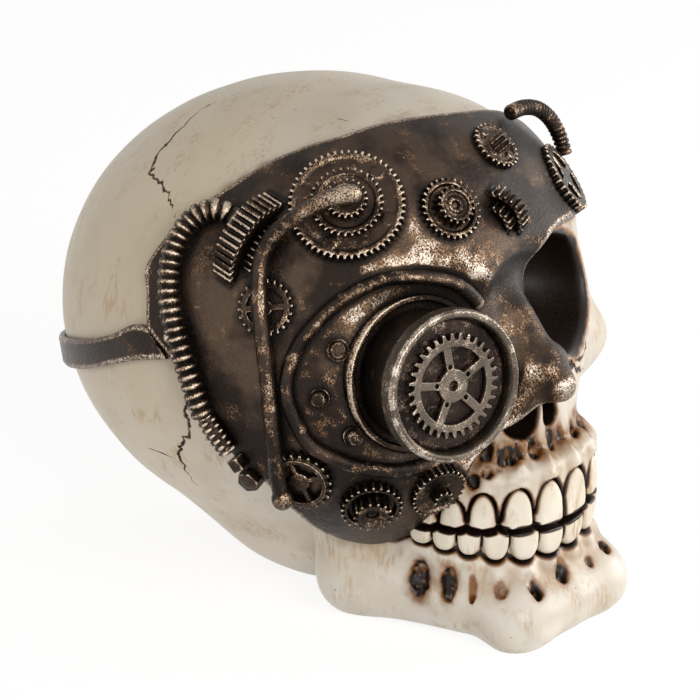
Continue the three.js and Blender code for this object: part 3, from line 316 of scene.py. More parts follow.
def getShare(piece, name):
    values = np.empty(len(piece.data.vertices), dtype=np.float32)
    piece.data.attributes[name].data.foreach_get("value", values)
    return values


def setShare(piece, name, values):
    mesh = piece.data
    layer = mesh.attributes.get(name) or mesh.attributes.new(name, "FLOAT", "POINT")
    layer.data.foreach_set("value", np.ascontiguousarray(values, dtype=np.float32))


def markWear(piece, rounds=6, span=0.5):
    # High places and low places, found by how far a vertex stands off its smoothed neighbours
    p = pointsOf(piece).astype(float)
    normal = normalsOf(piece)
    pairs = np.empty(len(piece.data.edges) * 2, dtype=np.int64)
    piece.data.edges.foreach_get("vertices", pairs)
    a, b = pairs.reshape(-1, 2).T
    total = len(p)
    number = np.bincount(a, minlength=total) + np.bincount(b, minlength=total)
    smoothed = p.copy()
    for step in range(rounds):
        gathered = np.stack([np.bincount(a, smoothed[b, axis], total)
                             + np.bincount(b, smoothed[a, axis], total) for axis in range(3)], -1)
        smoothed = 0.3 * smoothed + 0.7 * gathered / np.maximum(number, 1)[:, None]
    stands = ((p - smoothed) * normal).sum(-1) / span
    setShare(piece, "edge", np.clip(stands, 0, 1))
    setShare(piece, "recess", np.clip(-stands, 0, 1))


def finishPiece(piece, slotName, finish, *nodes):
    mesh = piece.data
    mesh.materials.clear()
    mesh.materials.append(finish)
    mesh.polygons.foreach_set("material_index", np.zeros(len(mesh.polygons), dtype=np.int32))
    flat = np.empty(len(mesh.vertices) * 3, dtype=np.float32)
    mesh.vertices.foreach_get("co", flat)
    low = np.array(cadBox[0]) + 1e-5
    high = np.array(cadBox[1]) - 1e-5
    inside = np.clip(flat.reshape(-1, 3), low, high)
    mesh.vertices.foreach_set("co", inside.astype(np.float32).ravel())
    mesh.update()
    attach(piece, "root")
    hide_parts(*nodes)


# Materials

def linear(code):
    channels = [int(code[i:i + 2], 16) / 255 for i in (0, 2, 4)]
    return [c / 12.92 if c <= 0.04045 else ((c + 0.055) / 1.055) ** 2.4 for c in channels] + [1]


def addNode(tree, inputs, kind, sockets=None, result=0, **settings):
    # Values and links go to the inputs by name, or in turn to the numbered sockets
    node = tree.nodes.new(kind)
    for key, value in settings.items():
        setattr(node, key, value)
    pairs = inputs.items() if isinstance(inputs, dict) else zip(sockets or range(len(inputs)), inputs)
    for key, value in pairs:
        if isinstance(value, bpy.types.NodeSocket):
            tree.links.new(value, node.inputs[key])
        else:
            node.inputs[key].default_value = value
    return node.outputs[result] if node.outputs else node


# Settings of the nodes that come up again and again
product = {"kind": "ShaderNodeMath", "operation": "MULTIPLY"}
addition = {"kind": "ShaderNodeMath", "operation": "ADD"}
difference = {"kind": "ShaderNodeMath", "operation": "SUBTRACT"}
larger = {"kind": "ShaderNodeMath", "operation": "MAXIMUM"}
fade = {"kind": "ShaderNodeMapRange", "interpolation_type": "SMOOTHSTEP"}
mixture = {"kind": "ShaderNodeMix", "data_type": "RGBA", "sockets": (0, 6, 7), "result": 2}
wornShare = {"kind": "ShaderNodeAttribute", "result": "Fac"}
parted = {"kind": "ShaderNodeSeparateXYZ"}


def newFinish(name):
    finish = bpy.data.materials.new(name)
    finish.use_nodes = True
    tree = finish.node_tree
    tree.nodes.clear()
    place = addNode(tree, {}, "ShaderNodeTexCoord", result="Object")
    return finish, tree, place


def closeFinish(tree, inputs, height, strength, distance):
    bump = addNode(tree, {"Strength": strength, "Distance": distance, "Height": height}, "ShaderNodeBump")
    surface = addNode(tree, {**inputs, "Normal": bump}, "ShaderNodeBsdfPrincipled")
    addNode(tree, {"Surface": surface}, "ShaderNodeOutputMaterial")


def patternAt(tree, place, size, detail=4.0, stretch=(1, 1, 1), roughness=0.55):
    # Noise whose blotches are about this many millimetres across
    stretched = addNode(tree, {"Vector": place, "Scale": stretch}, "ShaderNodeMapping")
    noise = {"Vector": stretched, "Scale": 1 / (size * metre), "Detail": detail, "Roughness": roughness}
    return addNode(tree, noise, "ShaderNodeTexNoise", result="Fac")


def scaleBy(tree, value, other, *span):
    # A share made smaller by another, which is faded over the span first
    if span:
        other = addNode(tree, (other, *span), **fade)
    return addNode(tree, (value, other), **product)


def layPaint(tree, ground, colour, cover, *span):
    # One coat over the ground, as thick as its cover says
    if span:
        cover = addNode(tree, (cover, *span), **fade)
    return addNode(tree, (cover, ground, linear(colour)), **mixture)


# Patterns in the ivory paint: size in millimetres, detail and stretch. Brush hairs lie about
# 0.2 mm apart and the paint's grain is finer still, so both are drawn coarser in order to show.
ivoryPatterns = {"broad": (26, 3), "patches": (9, 5), "streaks": (1.1, 4, (1, 1, 0.12)), "fine": (0.8, 3)}


# Cast polyresin with ivory paint and an umber wash that was wiped off the high places:
# soft gloss, faint brush streaks, brown in every hollow as umber wash and painted shade, and painted shade
# over the vault's top.
def ivoryPaint(name, look):
    finish, tree, place = newFinish(name)
    broad, patches, streaks, fine = [patternAt(tree, place, *spec) for spec in ivoryPatterns.values()]
    recess = addNode(tree, {}, attribute_name="recess", **wornShare)
    wash = addNode(tree, {}, attribute_name="wash", **wornShare)
    spread = addNode(tree, (place,), **parted).node.outputs
    ground = layPaint(tree, linear(look["base"]), look["shade"], broad, 0.38, 0.68)
    # Painted shade: a darker, yellower tint over the top of the vault, where little light falls
    ground = layPaint(tree, ground, look["crown"], spread["Z"], 0.03, 0.085, 0, 0.55)
    ground = layPaint(tree, ground, look["rear"], spread["Y"], -0.04, 0.005, 0, 0.45)
    ochre = addNode(tree, (patches, 0.47, 0.68), **fade)
    ochre = scaleBy(tree, ochre, streaks, 0.42, 0.62)
    ground = layPaint(tree, ground, look["ochre"], scaleBy(tree, ochre, look["streakShare"]))
    stir = scaleBy(tree, addNode(tree, (patches, 0.5), **difference), 0.7)
    # Umber wash and painted shade: brown, then dark brown, in the hollows that the recess share finds
    stainAndShade = addNode(tree, (recess, scaleBy(tree, stir, recess)), **addition)
    ground = layPaint(tree, ground, look["stainAndShade"], stainAndShade, 0.12, 0.55, 0, 0.75)
    ground = layPaint(tree, ground, look["deepStainAndShade"], stainAndShade, 0.4, 0.85, 0, 0.95)
    dark = addNode(tree, (wash, scaleBy(tree, stir, wash, 0.02, 0.5)), **addition)
    ground = layPaint(tree, ground, look["wash"], dark, 0.1, 0.5, 0, 0.85)
    ground = layPaint(tree, ground, look["deepWash"], dark, 0.35, 0.8)
    cells = {"Vector": place, "Scale": 1 / (7 * metre), "Randomness": 1}
    flecks = addNode(tree, cells, "ShaderNodeTexVoronoi", result="Distance")
    ground = layPaint(tree, ground, look["fleck"], flecks, 0.035, 0.055, 0.55, 0)
    rough = addNode(tree, (fine, 0.3, 0.7, 0.3, 0.46), **fade)
    bumps = addNode(tree, (streaks, scaleBy(tree, fine, 0.4)), **addition)
    closeFinish(tree, {"Base Color": ground, "Roughness": rough, "Specular IOR Level": 0.3,
                       "Coat Weight": 0.06, "Coat Roughness": 0.3}, bumps, 0.25, 0.00012)
    return finish


# Patterns in the bronze paint, in millimetres. The powder's grains and the scratches of the
# bristles are under 0.1 mm, so grit and streaks are drawn coarser in order to show.
bronzePatterns = {"broad": (15, 3), "patches": (4.5, 5, (1, 1, 1), 0.6), "grit": (0.42, 3, (1, 1, 1), 0.7),
                  "streaks": (0.34, 3, (0.9, 0.65, 0.45), 0.6)}


# Cast resin with black-brown metallic paint, dry-brushed with bronze and silver powder: fine bright
# scratches on raised edges, and painted highlights of the same bronze and silver on faces turned to the
# light from above and in front; black wash and painted shade in the hollows, painted shade underneath.
def bronzePaint(name, look):
    finish, tree, place = newFinish(name)
    broad, patches, grit, streaks = [patternAt(tree, place, *spec) for spec in bronzePatterns.values()]
    recess = addNode(tree, {}, attribute_name="recess", **wornShare)
    edge = addNode(tree, {}, attribute_name="edge", **wornShare)
    wash = addNode(tree, {}, attribute_name="wash", **wornShare)
    spread = addNode(tree, (place,), **parted).node.outputs
    outward = addNode(tree, {}, "ShaderNodeTexCoord", result="Normal")
    # Painted highlight: how squarely each face turns toward the light from in front and above
    litFacing = addNode(tree, (outward, look["lightFrom"]), "ShaderNodeVectorMath", result="Value",
                  operation="DOT_PRODUCT")
    # Painted highlight with dry-brush: lit faces of the upper near side get bronze and silver, broken up by
    # patches
    rubAndHighlight = addNode(tree, (litFacing, 0.86, 0.99), **fade)
    rubAndHighlight = scaleBy(tree, rubAndHighlight, broad, 0.3, 0.55, 0.35, 1)
    rubAndHighlight = scaleBy(tree, rubAndHighlight, patches, 0.34, 0.58, 0.4, 1)
    rubAndHighlight = scaleBy(tree, rubAndHighlight, spread["Z"], 0.084, 0.1, 0.4, 1)
    rubAndHighlight = scaleBy(tree, rubAndHighlight, spread["X"], -0.01, 0.006, 1, 0.4)
    edge = addNode(tree, (edge, 0.12, 0.75), **fade)
    # Edge wear, made brighter on faces turned to the light as a painted highlight
    edge = scaleBy(tree, edge, litFacing, 0.1, 0.85, 0.45, 1)
    edge = scaleBy(tree, edge, look["edge"])
    wearAndHighlight = addNode(tree, (edge, scaleBy(tree, rubAndHighlight, look["rub"])), **addition)
    faint = scaleBy(tree, addNode(tree, (patches, 0.48, 0.66), **fade), look["faint"])
    wearAndHighlight = addNode(tree, (wearAndHighlight, faint), **addition)
    marks = addNode(tree, (grit, 0.4, 0.56, 0.15, 1.15), **fade)
    marks = scaleBy(tree, marks, streaks, 0.38, 0.54, 0.35, 1.2)
    filled = addNode(tree, (wearAndHighlight, 0.5, 1.1, 0, 0.45), **fade)
    wearAndHighlight = scaleBy(tree, wearAndHighlight, addNode(tree, (marks, filled), **addition))
    # Black wash and painted shade: hollows, and the mask round everything standing on it, go near-black
    washedAndShaded = addNode(tree, (recess, wash), **larger)
    wearAndHighlight = scaleBy(tree, wearAndHighlight, washedAndShaded, 0.05, 0.5, 1, 0.03)
    # Painted shade: the brown ground shows on faces turned toward the light, faces turned away stay
    # near-black
    brownWhereLit = addNode(tree, (broad, 0.4, 0.6), **fade)
    brownWhereLit = scaleBy(tree, brownWhereLit, litFacing, 0.3, 0.85, 0.15, 1)
    ground = layPaint(tree, linear(look["black"]), look["brown"], brownWhereLit)
    ground = layPaint(tree, ground, look["copper"], wearAndHighlight, 0.1, 0.34, 0, 0.95)
    bright = scaleBy(tree, addNode(tree, (wearAndHighlight, 0.32, 0.7), **fade), look["silverShare"])
    ground = layPaint(tree, ground, look["silver"], bright)
    ground = layPaint(tree, ground, look["wash"], washedAndShaded, 0.25, 0.8, 0, 0.88)
    metal = addNode(tree, (wearAndHighlight, 0.0, 0.35, 0.82, 1.0), **fade)
    rough = addNode(tree, (grit, 0.3, 0.7, 0.24, 0.4), **fade)
    rough = addNode(tree, (rough, scaleBy(tree, wearAndHighlight, 0.06)), **difference)
    height = addNode(tree, (scaleBy(tree, grit, 0.7), streaks), **addition)
    height = addNode(tree, (height, scaleBy(tree, patches, 1.6)), **addition)
    closeFinish(tree, {"Base Color": ground, "Roughness": rough, "Metallic": metal}, height, 0.45, 0.0004)
    return finish


ivoryLook = {"base": "e6dfd3", "shade": "d4cab9", "streakShare": 0.5, "crown": "bcae94", "rear": "d0bb98",
             "ochre": "b08a58", "stainAndShade": "9a7240", "deepStainAndShade": "3d2413", "wash": "85521f",
             "deepWash": "1a0e08", "fleck": "5b4630"}
toothLook = {**ivoryLook, "base": "ece3d2", "shade": "ddd0b8", "streakShare": 0.7}
bronzeLook = {"black": "241b15", "brown": "4a3b2f", "copper": "86694f", "silver": "d2c8bb", "wash": "130e0b",
              "edge": 0.65, "rub": 0.8, "faint": 0.2, "silverShare": 0.85, "lightFrom": (-0.56, -0.8, 0.2)}
castLook = {**bronzeLook, "black": "211913", "brown": "3f3228", "copper": "8c7058", "silver": "c9bca9",
            "edge": 1.1, "rub": 0.4, "faint": 0.36, "silverShare": 0.7}
rimLook = {**bronzeLook, "black": "554b41", "brown": "6a5f54", "copper": "91806e", "silver": "cdc3b6",
           "edge": 0.95, "rub": 0.4, "faint": 0.35}
plateLook = {**bronzeLook, "black": "1d1612", "brown": "322822", "copper": "66564a", "silver": "b3a595",
             "edge": 0.7, "rub": 0.4, "faint": 0.24, "silverShare": 0.7}

boneFinish = ivoryPaint("ivoryPaintedResin", ivoryLook)
toothFinish = ivoryPaint("ivoryPaintedTeeth", toothLook)
maskFinish = bronzePaint("dryBrushedBronzeMask", bronzeLook)
castFinish = bronzePaint("dryBrushedBronzeCast", castLook)
rimFinish = bronzePaint("wornSilverBronzeRim", rimLook)
plateFinish = bronzePaint("darkBronzePlate", plateLook)
print("finishes made")


# Teeth: crowns one after another along a rounded arch

teethSizes = {"halfWidth": 31.0, "reach": 35.0, "setback": 52.0, "power": 2.8, "depth": 7.2, "gap": 0.32,
              "belly": 0.14, "gumCut": 2.2, "boxHalf": 9}

# Each crown: how far it stands from the middle along the arch, its width, its lower and upper
# end, and how much its lower end climbs outwards
upperCrownTable = [
    (5.9, 11.5, 30.75, 43.4, 0.11), (17.4, 9.6, 32.3, 43.5, 0.08), (26.9, 7.9, 33.2, 43.0, 0.02),
    (34.9, 7.6, 33.2, 40.9, 0), (42.9, 8.0, 32.8, 40.2, 0)]
lowerCrownTable = [
    (5.1, 9.9, 21.9, 29.5, 0.09), (14.8, 8.8, 22.6, 31.0, 0.07), (23.2, 7.4, 24.0, 31.7, 0.02),
    (30.4, 6.6, 25.4, 31.8, 0), (37.3, 6.8, 26.0, 31.6, 0), (44.4, 7.0, 26.6, 31.2, 0)]


def archPoint(run, inset):
    c, s = math.cos(run), math.sin(run)
    power = teethSizes["power"]
    k = (abs(c) ** power + abs(s) ** power) ** (1 / power)
    return np.array([s / k * (teethSizes["halfWidth"] - inset),
                     -teethSizes["setback"] - c / k * (teethSizes["reach"] - inset)])


def crownPlaces(table):
    runs = np.linspace(0, math.pi / 2, 721)
    walk = np.array([archPoint(run, 0) for run in runs])
    walked = np.concatenate([[0], np.cumsum(np.linalg.norm(np.diff(walk, axis=0), axis=1))])
    half = teethSizes["depth"] / 2
    places = []
    for rank, (travel, width, bottom, top, climb) in enumerate(table):
        run = float(np.interp(travel, walked, runs))
        centre = archPoint(run, half)
        ahead = archPoint(run + 0.03, half) - archPoint(run - 0.03, half)
        heading = math.atan2(ahead[1], ahead[0])
        for mirror in (1, -1):
            places.append({"centre": centre * [mirror, 1], "heading": heading * mirror, "width": width,
                           "bottom": bottom, "top": top, "climb": climb * mirror, "rank": rank})
    return places


def crownForm(place, gumUp, depthScale=1.0):
    # Square at the biting edge, drawn to a rounded arch at the gum, its face rounded off last
    half = np.array([place["width"] / 2 - teethSizes["gap"], teethSizes["depth"] / 2 * depthScale])
    c, s = math.cos(place["heading"]), math.sin(place["heading"])
    bite = place["bottom"] if gumUp else place["top"]
    tall = place["top"] - place["bottom"]
    belly = teethSizes["belly"]
    sidePower, endPower = (1.8, 2.4) if gumUp else (2.4, 2.8)

    def value(p):
        x = p[:, 0] - place["centre"][0]
        y = p[:, 1] - place["centre"][1]
        a = x * c + y * s
        b = y * c - x * s
        v = (p[:, 2] - bite - a * place["climb"]) * (1 if gumUp else -1) / tall
        above = np.abs((v - belly) / (1 - belly)) ** endPower
        end = np.where(v > belly, above, np.abs((belly - v) / belly) ** 5)
        outline = (np.abs(a / half[0]) ** sidePower + end) ** 2
        q = (outline + np.abs(b * (1 + 0.05 * v) / half[1]) ** 4) ** 0.25
        return (q - 1) * half.min() * 1.4
    return value


upperPlaces = crownPlaces(upperCrownTable)
lowerPlaces = crownPlaces(lowerCrownTable)
upperCrowns = [crownForm(place, True) for place in upperPlaces]
lowerCrowns = [crownForm(place, False) for place in lowerPlaces]
upperHoles = [crownForm(place, True, teethSizes["gumCut"]) for place in upperPlaces]
lowerHoles = [crownForm(place, False, teethSizes["gumCut"]) for place in lowerPlaces]


def within(form, low, high, far=3.0):
    # A form that is only worked out near its own box
    low = np.array(low) - far
    high = np.array(high) + far

    def value(p):
        near = ((p > low) & (p < high)).all(-1)
        result = np.full(len(p), far, dtype=np.float32)
        if near.any():
            result[near] = form(p[near])
        return result
    return value


def crownRow(crowns, places, bottom, top):
    boxed = []
    half = teethSizes["boxHalf"]
    for crown, place in zip(crowns, places):
        x, y = place["centre"]
        boxed.append(within(crown, (x - half, y - half, bottom), (x + half, y + half, top)))
    return lowest(*boxed)


upperRow = crownRow(upperCrowns, upperPlaces, 30.0, 44.0)
lowerRow = crownRow(lowerCrowns, lowerPlaces, 21.5, 32.5)
upperGumHoles = crownRow(upperHoles, upperPlaces, 30.0, 44.0)
lowerGumHoles = crownRow(lowerHoles, lowerPlaces, 21.5, 32.5)


def rootForm(places, gum, tip, radius):
    # Roots swell under the gum, one above each crown, drawn in at their tips
    forms = []
    for place in places:
        if place["rank"] > 4:
            continue
        x, y = place["centre"]
        out = np.array([x, y + teethSizes["setback"]])
        out = out / np.linalg.norm(out)
        start = np.array([x, y]) + out * 1.5
        end = np.array([x, y]) * [0.93, 1] + out * 0.2
        forms.append(bar((*start, gum), (*end, tip), radius, radius * 0.55))
    return lowest(*forms)


upperRoots = rootForm(upperPlaces, 44.0, 48.5, 1.7)
lowerRoots = rootForm(lowerPlaces, 19.4, 12.0, 1.8)


# Skull, and the well in it and in the mask behind the eyepiece

headSizes = {"wall": 2.6, "wellWall": 1.4, "wellSetback": 11.0, "wellDepth": 9.6, "wellRadius": 27.0}
eyeFront = np.array([-40.0, -81.4, 77.8])
eyeYaw, eyePitch = math.radians(17.2), math.radians(6.4)
eyeAxis = np.array([-math.sin(eyeYaw) * math.cos(eyePitch), -math.cos(eyeYaw) * math.cos(eyePitch),
                    math.sin(eyePitch)])


def well(grow):
    centre = eyeFront - eyeAxis * headSizes["wellSetback"]
    wide = headSizes["wellRadius"] + grow
    deep = headSizes["wellDepth"] + grow

    def value(p):
        q = p - centre
        along = q @ eyeAxis
        across = np.sqrt(np.maximum((q * q).sum(-1) - along * along, 0))
        k = np.hypot(across / wide, along / deep)
        return k * (k - 1) / (np.hypot(across / wide ** 2, along / deep ** 2) + nearZero)
    return value


def joined(form, parts):
    for part, blend in parts:
        form = join(form, part, blend)
    return form


def headForm():
    form = joined(oval((0, -5, 72), (67, 74, 62)), [
        (oval((0, -32, 96), (47, 32.5, 36)), 12),
        (twin(bar((9, -57.5, 99.5), (36, -51.5, 98), 6, 5.5)), 8)])
    return carve(form, oval((0, -79, 88.5), (22, 15.5, 17)), 6)


def wholeBone():
    form = joined(headForm(), [
        (twin(bar((38, -51, 95), (37, -58, 74), 3.5, 4)), 6),
        (twin(oval((38.5, -58.5, 64), (12.5, 9.5, 9))), 7),
        (twin(bar((47, -52, 62), (59, -22, 62), 4.5)), 8),
        (oval((0, -52, 57), (28, 27, 17)), 10),
        (arch((0, -51.3), (30.1, 34.6), 34.2, 48, 3), 6),
        (arch((0, -51.3), (24, 28.6), 44, 54, 3), 5),
        (bar((0, -56, 92), (0, -66, 79), 5, 5.5), 8),
        (oval((0, -12, 22.5), (34, 38, 26)), 14)])
    form = carve(form, twin(oval((75, -44, 84), (18, 30, 24))), 12)
    return carve(form, well(headSizes["wall"] + headSizes["wellWall"]), 4)


def socketForm():
    # The open eye socket: squarish in front, drawn to a cone at its back
    return joined(oval((21.6, -74, 83.5), (16.9, 28, 14.8)), [
        (oval((14.5, -72, 90), (10, 20, 10)), 5), (oval((19, -58, 84), (9, 22, 9)), 5)])


def nostrilForm():
    left = join(oval((-7.6, -76, 60.5), (4.2, 9, 7)), oval((-9, -76, 56.8), (4.2, 9, 2.6)), 1.5)
    right = join(oval((0.8, -77, 61), (2.6, 8, 6)), oval((1.6, -77, 57.4), (2.6, 8, 2.2)), 1.5)
    return lowest(left, right)


def jawForm():
    form = joined(twin(bar((17, -83, 8), (26, -38, 9), 7, 8.5)), [
        (twin(bar((26, -38, 12), (37, -34, 46), 8.5, 7)), 10),
        (twin(bar((0, -83.6, 7.8), (17, -83, 7.5), 8.4, 7.3)), 6),
        (twin(oval((15.4, -85.3, 6.6), (9.4, 7, 6.8))), 6),
        (oval((0, -86.4, 6.8), (15, 6.4, 6.4)), 5)])
    level = arch((0, -51), (29.6, 34.2), 8, 23.0, 2.6)

    def ridge(p):
        climb = np.clip((p[:, 1] + 87) * 0.17, 0, 4.2)
        return level(p - np.stack([climb * 0, climb * 0, climb], -1))
    ridge = carve(ridge, arch((0, -45), (14, 25), -30, 72, 4), 5)
    ridge = carve(ridge, oval((0, 5, 16.2), (60, 45, 56)), 4)
    return join(form, ridge, 9)


def maskFace():
    nose = joined(bar((-1, -63, 91), (-0.6, -83.7, 67.4), 5, 4.7), [
        (bar((-9, -57, 88), (-9.5, -70.5, 62), 9, 7.5), 8),
        (bar((5, -61, 76), (6, -71, 62), 4, 4.5), 4)])
    form = joined(swell(headForm(), headSizes["wall"]), [
        (oval((-21, -34, 60), (42, 40, 40)), 10), (nose, 6)])
    return carve(form, well(0), 5)


bareBone = wholeBone()
maskSkin = maskFace()

# Edges of the mask and of its strap, as directions: lower edge, then upper edge

maskEdges = [
    [92.5, 5.6, 99.5, 10.8], [90.2, 4, 101.4, 17.5], [88.4, 2.4, 104.1, 22], [86.7, -0.5, 103.8, 25.1],
    [83.9, -5, 102.3, 29.1], [80.5, -9.7, 100.4, 34.1], [77.7, -13, 97.4, 38.8], [75.7, -14.8, 92.9, 43.4],
    [69.7, -19.1, 87.5, 48.8], [65.8, -23.7, 79.5, 54.8], [61.7, -29, 69.1, 58.7], [57.1, -34.5, 62, 60.2],
    [51, -39, 55, 61.4], [44.1, -42.8, 47, 63], [36.5, -42.5, 39, 64.3], [31, -38.5, 32, 64.9],
    [27.5, -32.4, 26.5, 65.2], [25.4, -27.6, 22, 65.3], [23.6, -22.5, 18, 65.3], [21.5, -17.3, 14, 65.1],
    [18.9, -14.9, 10.5, 64.9], [14, -10.9, 7, 64.7], [8, -8.3, 3.5, 64.4], [2.5, -6, 0, 64.2],
    [-2.5, -5, -3.5, 63.7], [-6, -1, -7, 63.2], [-7, 8, -10.5, 62.6], [-7.6, 17, -14, 62],
    [-7.4, 22.5, -18, 61.4], [-8.8, 27, -23, 60.4], [-15, 29.2, -28.5, 59], [-24, 28.7, -37.5, 56.1],
    [-36, 26.5, -47, 52], [-50, 22.5, -60, 45], [-64, 17.5, -73, 36.5], [-77, 12, -84, 28],
    [-86, 7.5, -92, 20], [-92.5, 5.6, -99.5, 10.8]]
strapSide = [
    [92.8, 5.6, 99.8, 10.8], [100.5, 3.5, 103.5, 10.4], [109.3, 0.1, 109.8, 6.6], [117.5, -3.3, 117, 3.4],
    [129, -7.1, 128, -0.3], [141.5, -10.2, 141, -4.2], [160, -14, 160, -8.3], [180, -15.1, 180, -9.6]]


def outlineDistance(edges):
    # How far outside the mask's outline a point's direction lies, from a table made once
    edges = np.array(edges, dtype=float)
    lower = smoothLine(edges[:, :2], 1500)
    upper = smoothLine(edges[:, 2:], 1500)
    ends = [np.linspace(a, b, 60) for a, b in ((lower[-1], upper[-1]), (upper[0], lower[0]))]
    outline = np.vstack([lower, ends[0], upper[::-1], ends[1]])
    tree = nearestOf(direction(outline[:, 0], outline[:, 1]))
    step = 0.5
    lons = np.arange(-118, 118.1, step)
    lats = np.arange(-60, 84.1, step)
    table = np.empty((len(lons), len(lats)), dtype=np.float32)
    coarse = outline[::6]
    following = np.roll(coarse, -1, axis=0)
    for i, lon in enumerate(lons):
        crossing = np.zeros(len(lats), dtype=bool)
        spans = (coarse[:, 0] > lon) != (following[:, 0] > lon)
        for a, b in zip(coarse[spans], following[spans]):
            crossing ^= lats < a[1] + (lon - a[0]) * (b[1] - a[1]) / (b[0] - a[0])
        rays = direction(np.full(len(lats), lon), lats)
        far = np.array([tree.find(ray)[2] for ray in rays])
        table[i] = np.where(crossing, -far, far)

    def value(p):
        lon, lat, out = lonLat(p)
        u = np.clip((lon - lons[0]) / step, 0, len(lons) - 1.001)
        v = np.clip((lat - lats[0]) / step, 0, len(lats) - 1.001)
        i, j = u.astype(int), v.astype(int)
        s, t = u - i, v - j
        mixed = (table[i, j] * (1 - s) * (1 - t) + table[i + 1, j] * s * (1 - t)
                 + table[i, j + 1] * (1 - s) * t + table[i + 1, j + 1] * s * t)
        return mixed * out
    return value


maskOutline = outlineDistance(maskEdges)
print("outline of the mask measured")


def maskCast():
    dents = hills(11, 5, 0.35)

    def value(p):
        outer = maskSkin(p) + dents(p)
        plate = blendHigh(outer, maskOutline(p), 1.8)
        return blendHigh(plate, -(outer + 3.0), 0.5)
    return value


maskSolid = maskCast()

# Hairline cracks, as directions on the bone, with how deep and how wide they run

cracks = [
    {"line": [[148, 58], [146, 56.2], [134.2, 47.5], [132.3, 45.4], [127.7, 40.8], [124.8, 40.1],
              [116.5, 39.5], [111.5, 38.5], [106.5, 36.3], [102.5, 34]], "width": 0.34, "depth": 0.55},
    {"line": [[91.5, 3.5], [90.3, 0.8], [89.4, -3.5], [90.4, -7.1], [90, -10.7], [93, -15], [96.3, -18.8],
              [97, -22.7], [96.6, -31.2]], "width": 0.42, "depth": 0.7},
    {"line": [[107.9, -21.3], [103.4, -21.3], [99.3, -22]], "width": 0.2, "depth": 0.3},
    {"line": [[-8.2, 1.4], [-9, -0.4], [-10.3, -2.2], [-14.9, -4.1], [-22, -7.4], [-29.9, -10]],
     "width": 0.6, "depth": 0.9},
    {"line": [[-12.1, 1], [-15.9, -2], [-21.1, -4.1], [-26.2, -4.5], [-27.7, -2.5], [-26.6, 0.6]],
     "width": 0.55, "depth": 0.9},
    {"line": [[-9.6, -0.8], [-12.2, -2.2], [-15, -2.6]], "width": 1.1, "depth": 1.2},
    {"line": [[110.3, 68.4], [102, 67.3], [95, 66.6]], "width": 0.16, "depth": 0.2},
    {"line": [[59.9, 70.6], [54, 69.6], [50.4, 68.8]], "width": 0.16, "depth": 0.2}]


def crackPoints(form):
    rng = np.random.default_rng(21)
    points, widths, depths = [], [], []
    for crack in cracks:
        rough = smoothLine(crack["line"], len(crack["line"]) * 5)
        rough = rough + rng.normal(0, 0.45, rough.shape) * (crack["width"] > 0.3)
        count = 70 * len(rough) // 5
        line = np.stack([np.interp(np.linspace(0, 1, count), np.linspace(0, 1, len(rough)), rough[:, axis])
                         for axis in (0, 1)], -1)
        point, normal = seat(form, line[:, 0], line[:, 1])
        knots = rng.uniform(0.45, 1.25, len(rough))
        gape = np.interp(np.linspace(0, 1, count), np.linspace(0, 1, len(rough)), knots)
        ends = np.sin(np.linspace(0, math.pi, count)) ** 0.5
        points.append(point)
        widths.append(crack["width"] * gape * ends)
        depths.append(crack["depth"] * gape * ends)
    return np.vstack(points), np.concatenate(widths), np.concatenate(depths)


def cutCracks(piece, form):
    # The surface is made finer along each crack, then the groove is pressed in
    points, widths, depths = crackPoints(form)
    tree = nearestOf(points * metre)
    mesh = bmesh.new()
    mesh.from_mesh(piece.data)
    for limit in (1.9, 1.3, 0.9):
        near = set()
        for vertex in mesh.verts:
            found = tree.find(vertex.co)
            if found[2] < limit * metre:
                near.add(vertex.index)
        edges = [edge for edge in mesh.edges if edge.verts[0].index in near or edge.verts[1].index in near]
        bmesh.ops.subdivide_edges(mesh, edges=edges, cuts=1)
        bmesh.ops.triangulate(mesh, faces=[face for face in mesh.faces if len(face.verts) > 4])
        mesh.verts.index_update()
    bmesh.ops.triangulate(mesh, faces=mesh.faces[:])
    shares = np.zeros(len(mesh.verts), dtype=np.float32)
    mesh.normal_update()
    moves = {}
    for vertex in mesh.verts:
        place, index, away = tree.find(vertex.co)
        away /= metre
        width = max(widths[index], 0.08)
        if away < width * 3:
            fall = math.exp(-(away / width) ** 2)
            moves[vertex] = vertex.normal * (-depths[index] * fall * metre)
            shares[vertex.index] = min(1.0, 1.3 * math.exp(-(away / (width * 1.15)) ** 2))
    for vertex, move in moves.items():
        vertex.co += move
    mesh.to_mesh(piece.data)
    mesh.free()
    piece.data.shade_smooth()
    return shares


# Sampling of each cast piece: its box, its pitch and the most triangles that it keeps

craniumGrid = {"low": (-72, -94, -3), "high": (72, 74, 137), "pitch": 0.72, "quickPitch": 1.1,
               "limit": 118000}
mandibleGrid = {"low": (-52, -95, -3), "high": (52, -14, 58), "pitch": 0.55, "quickPitch": 0.9,
                "limit": 120000}
maskGrid = {"low": (-74, -92, 8), "high": (72, 12, 138), "pitch": 0.62, "quickPitch": 1.0, "limit": 165000}

# Sunken pits between the roots: centre, half width, half height, depth share and lean

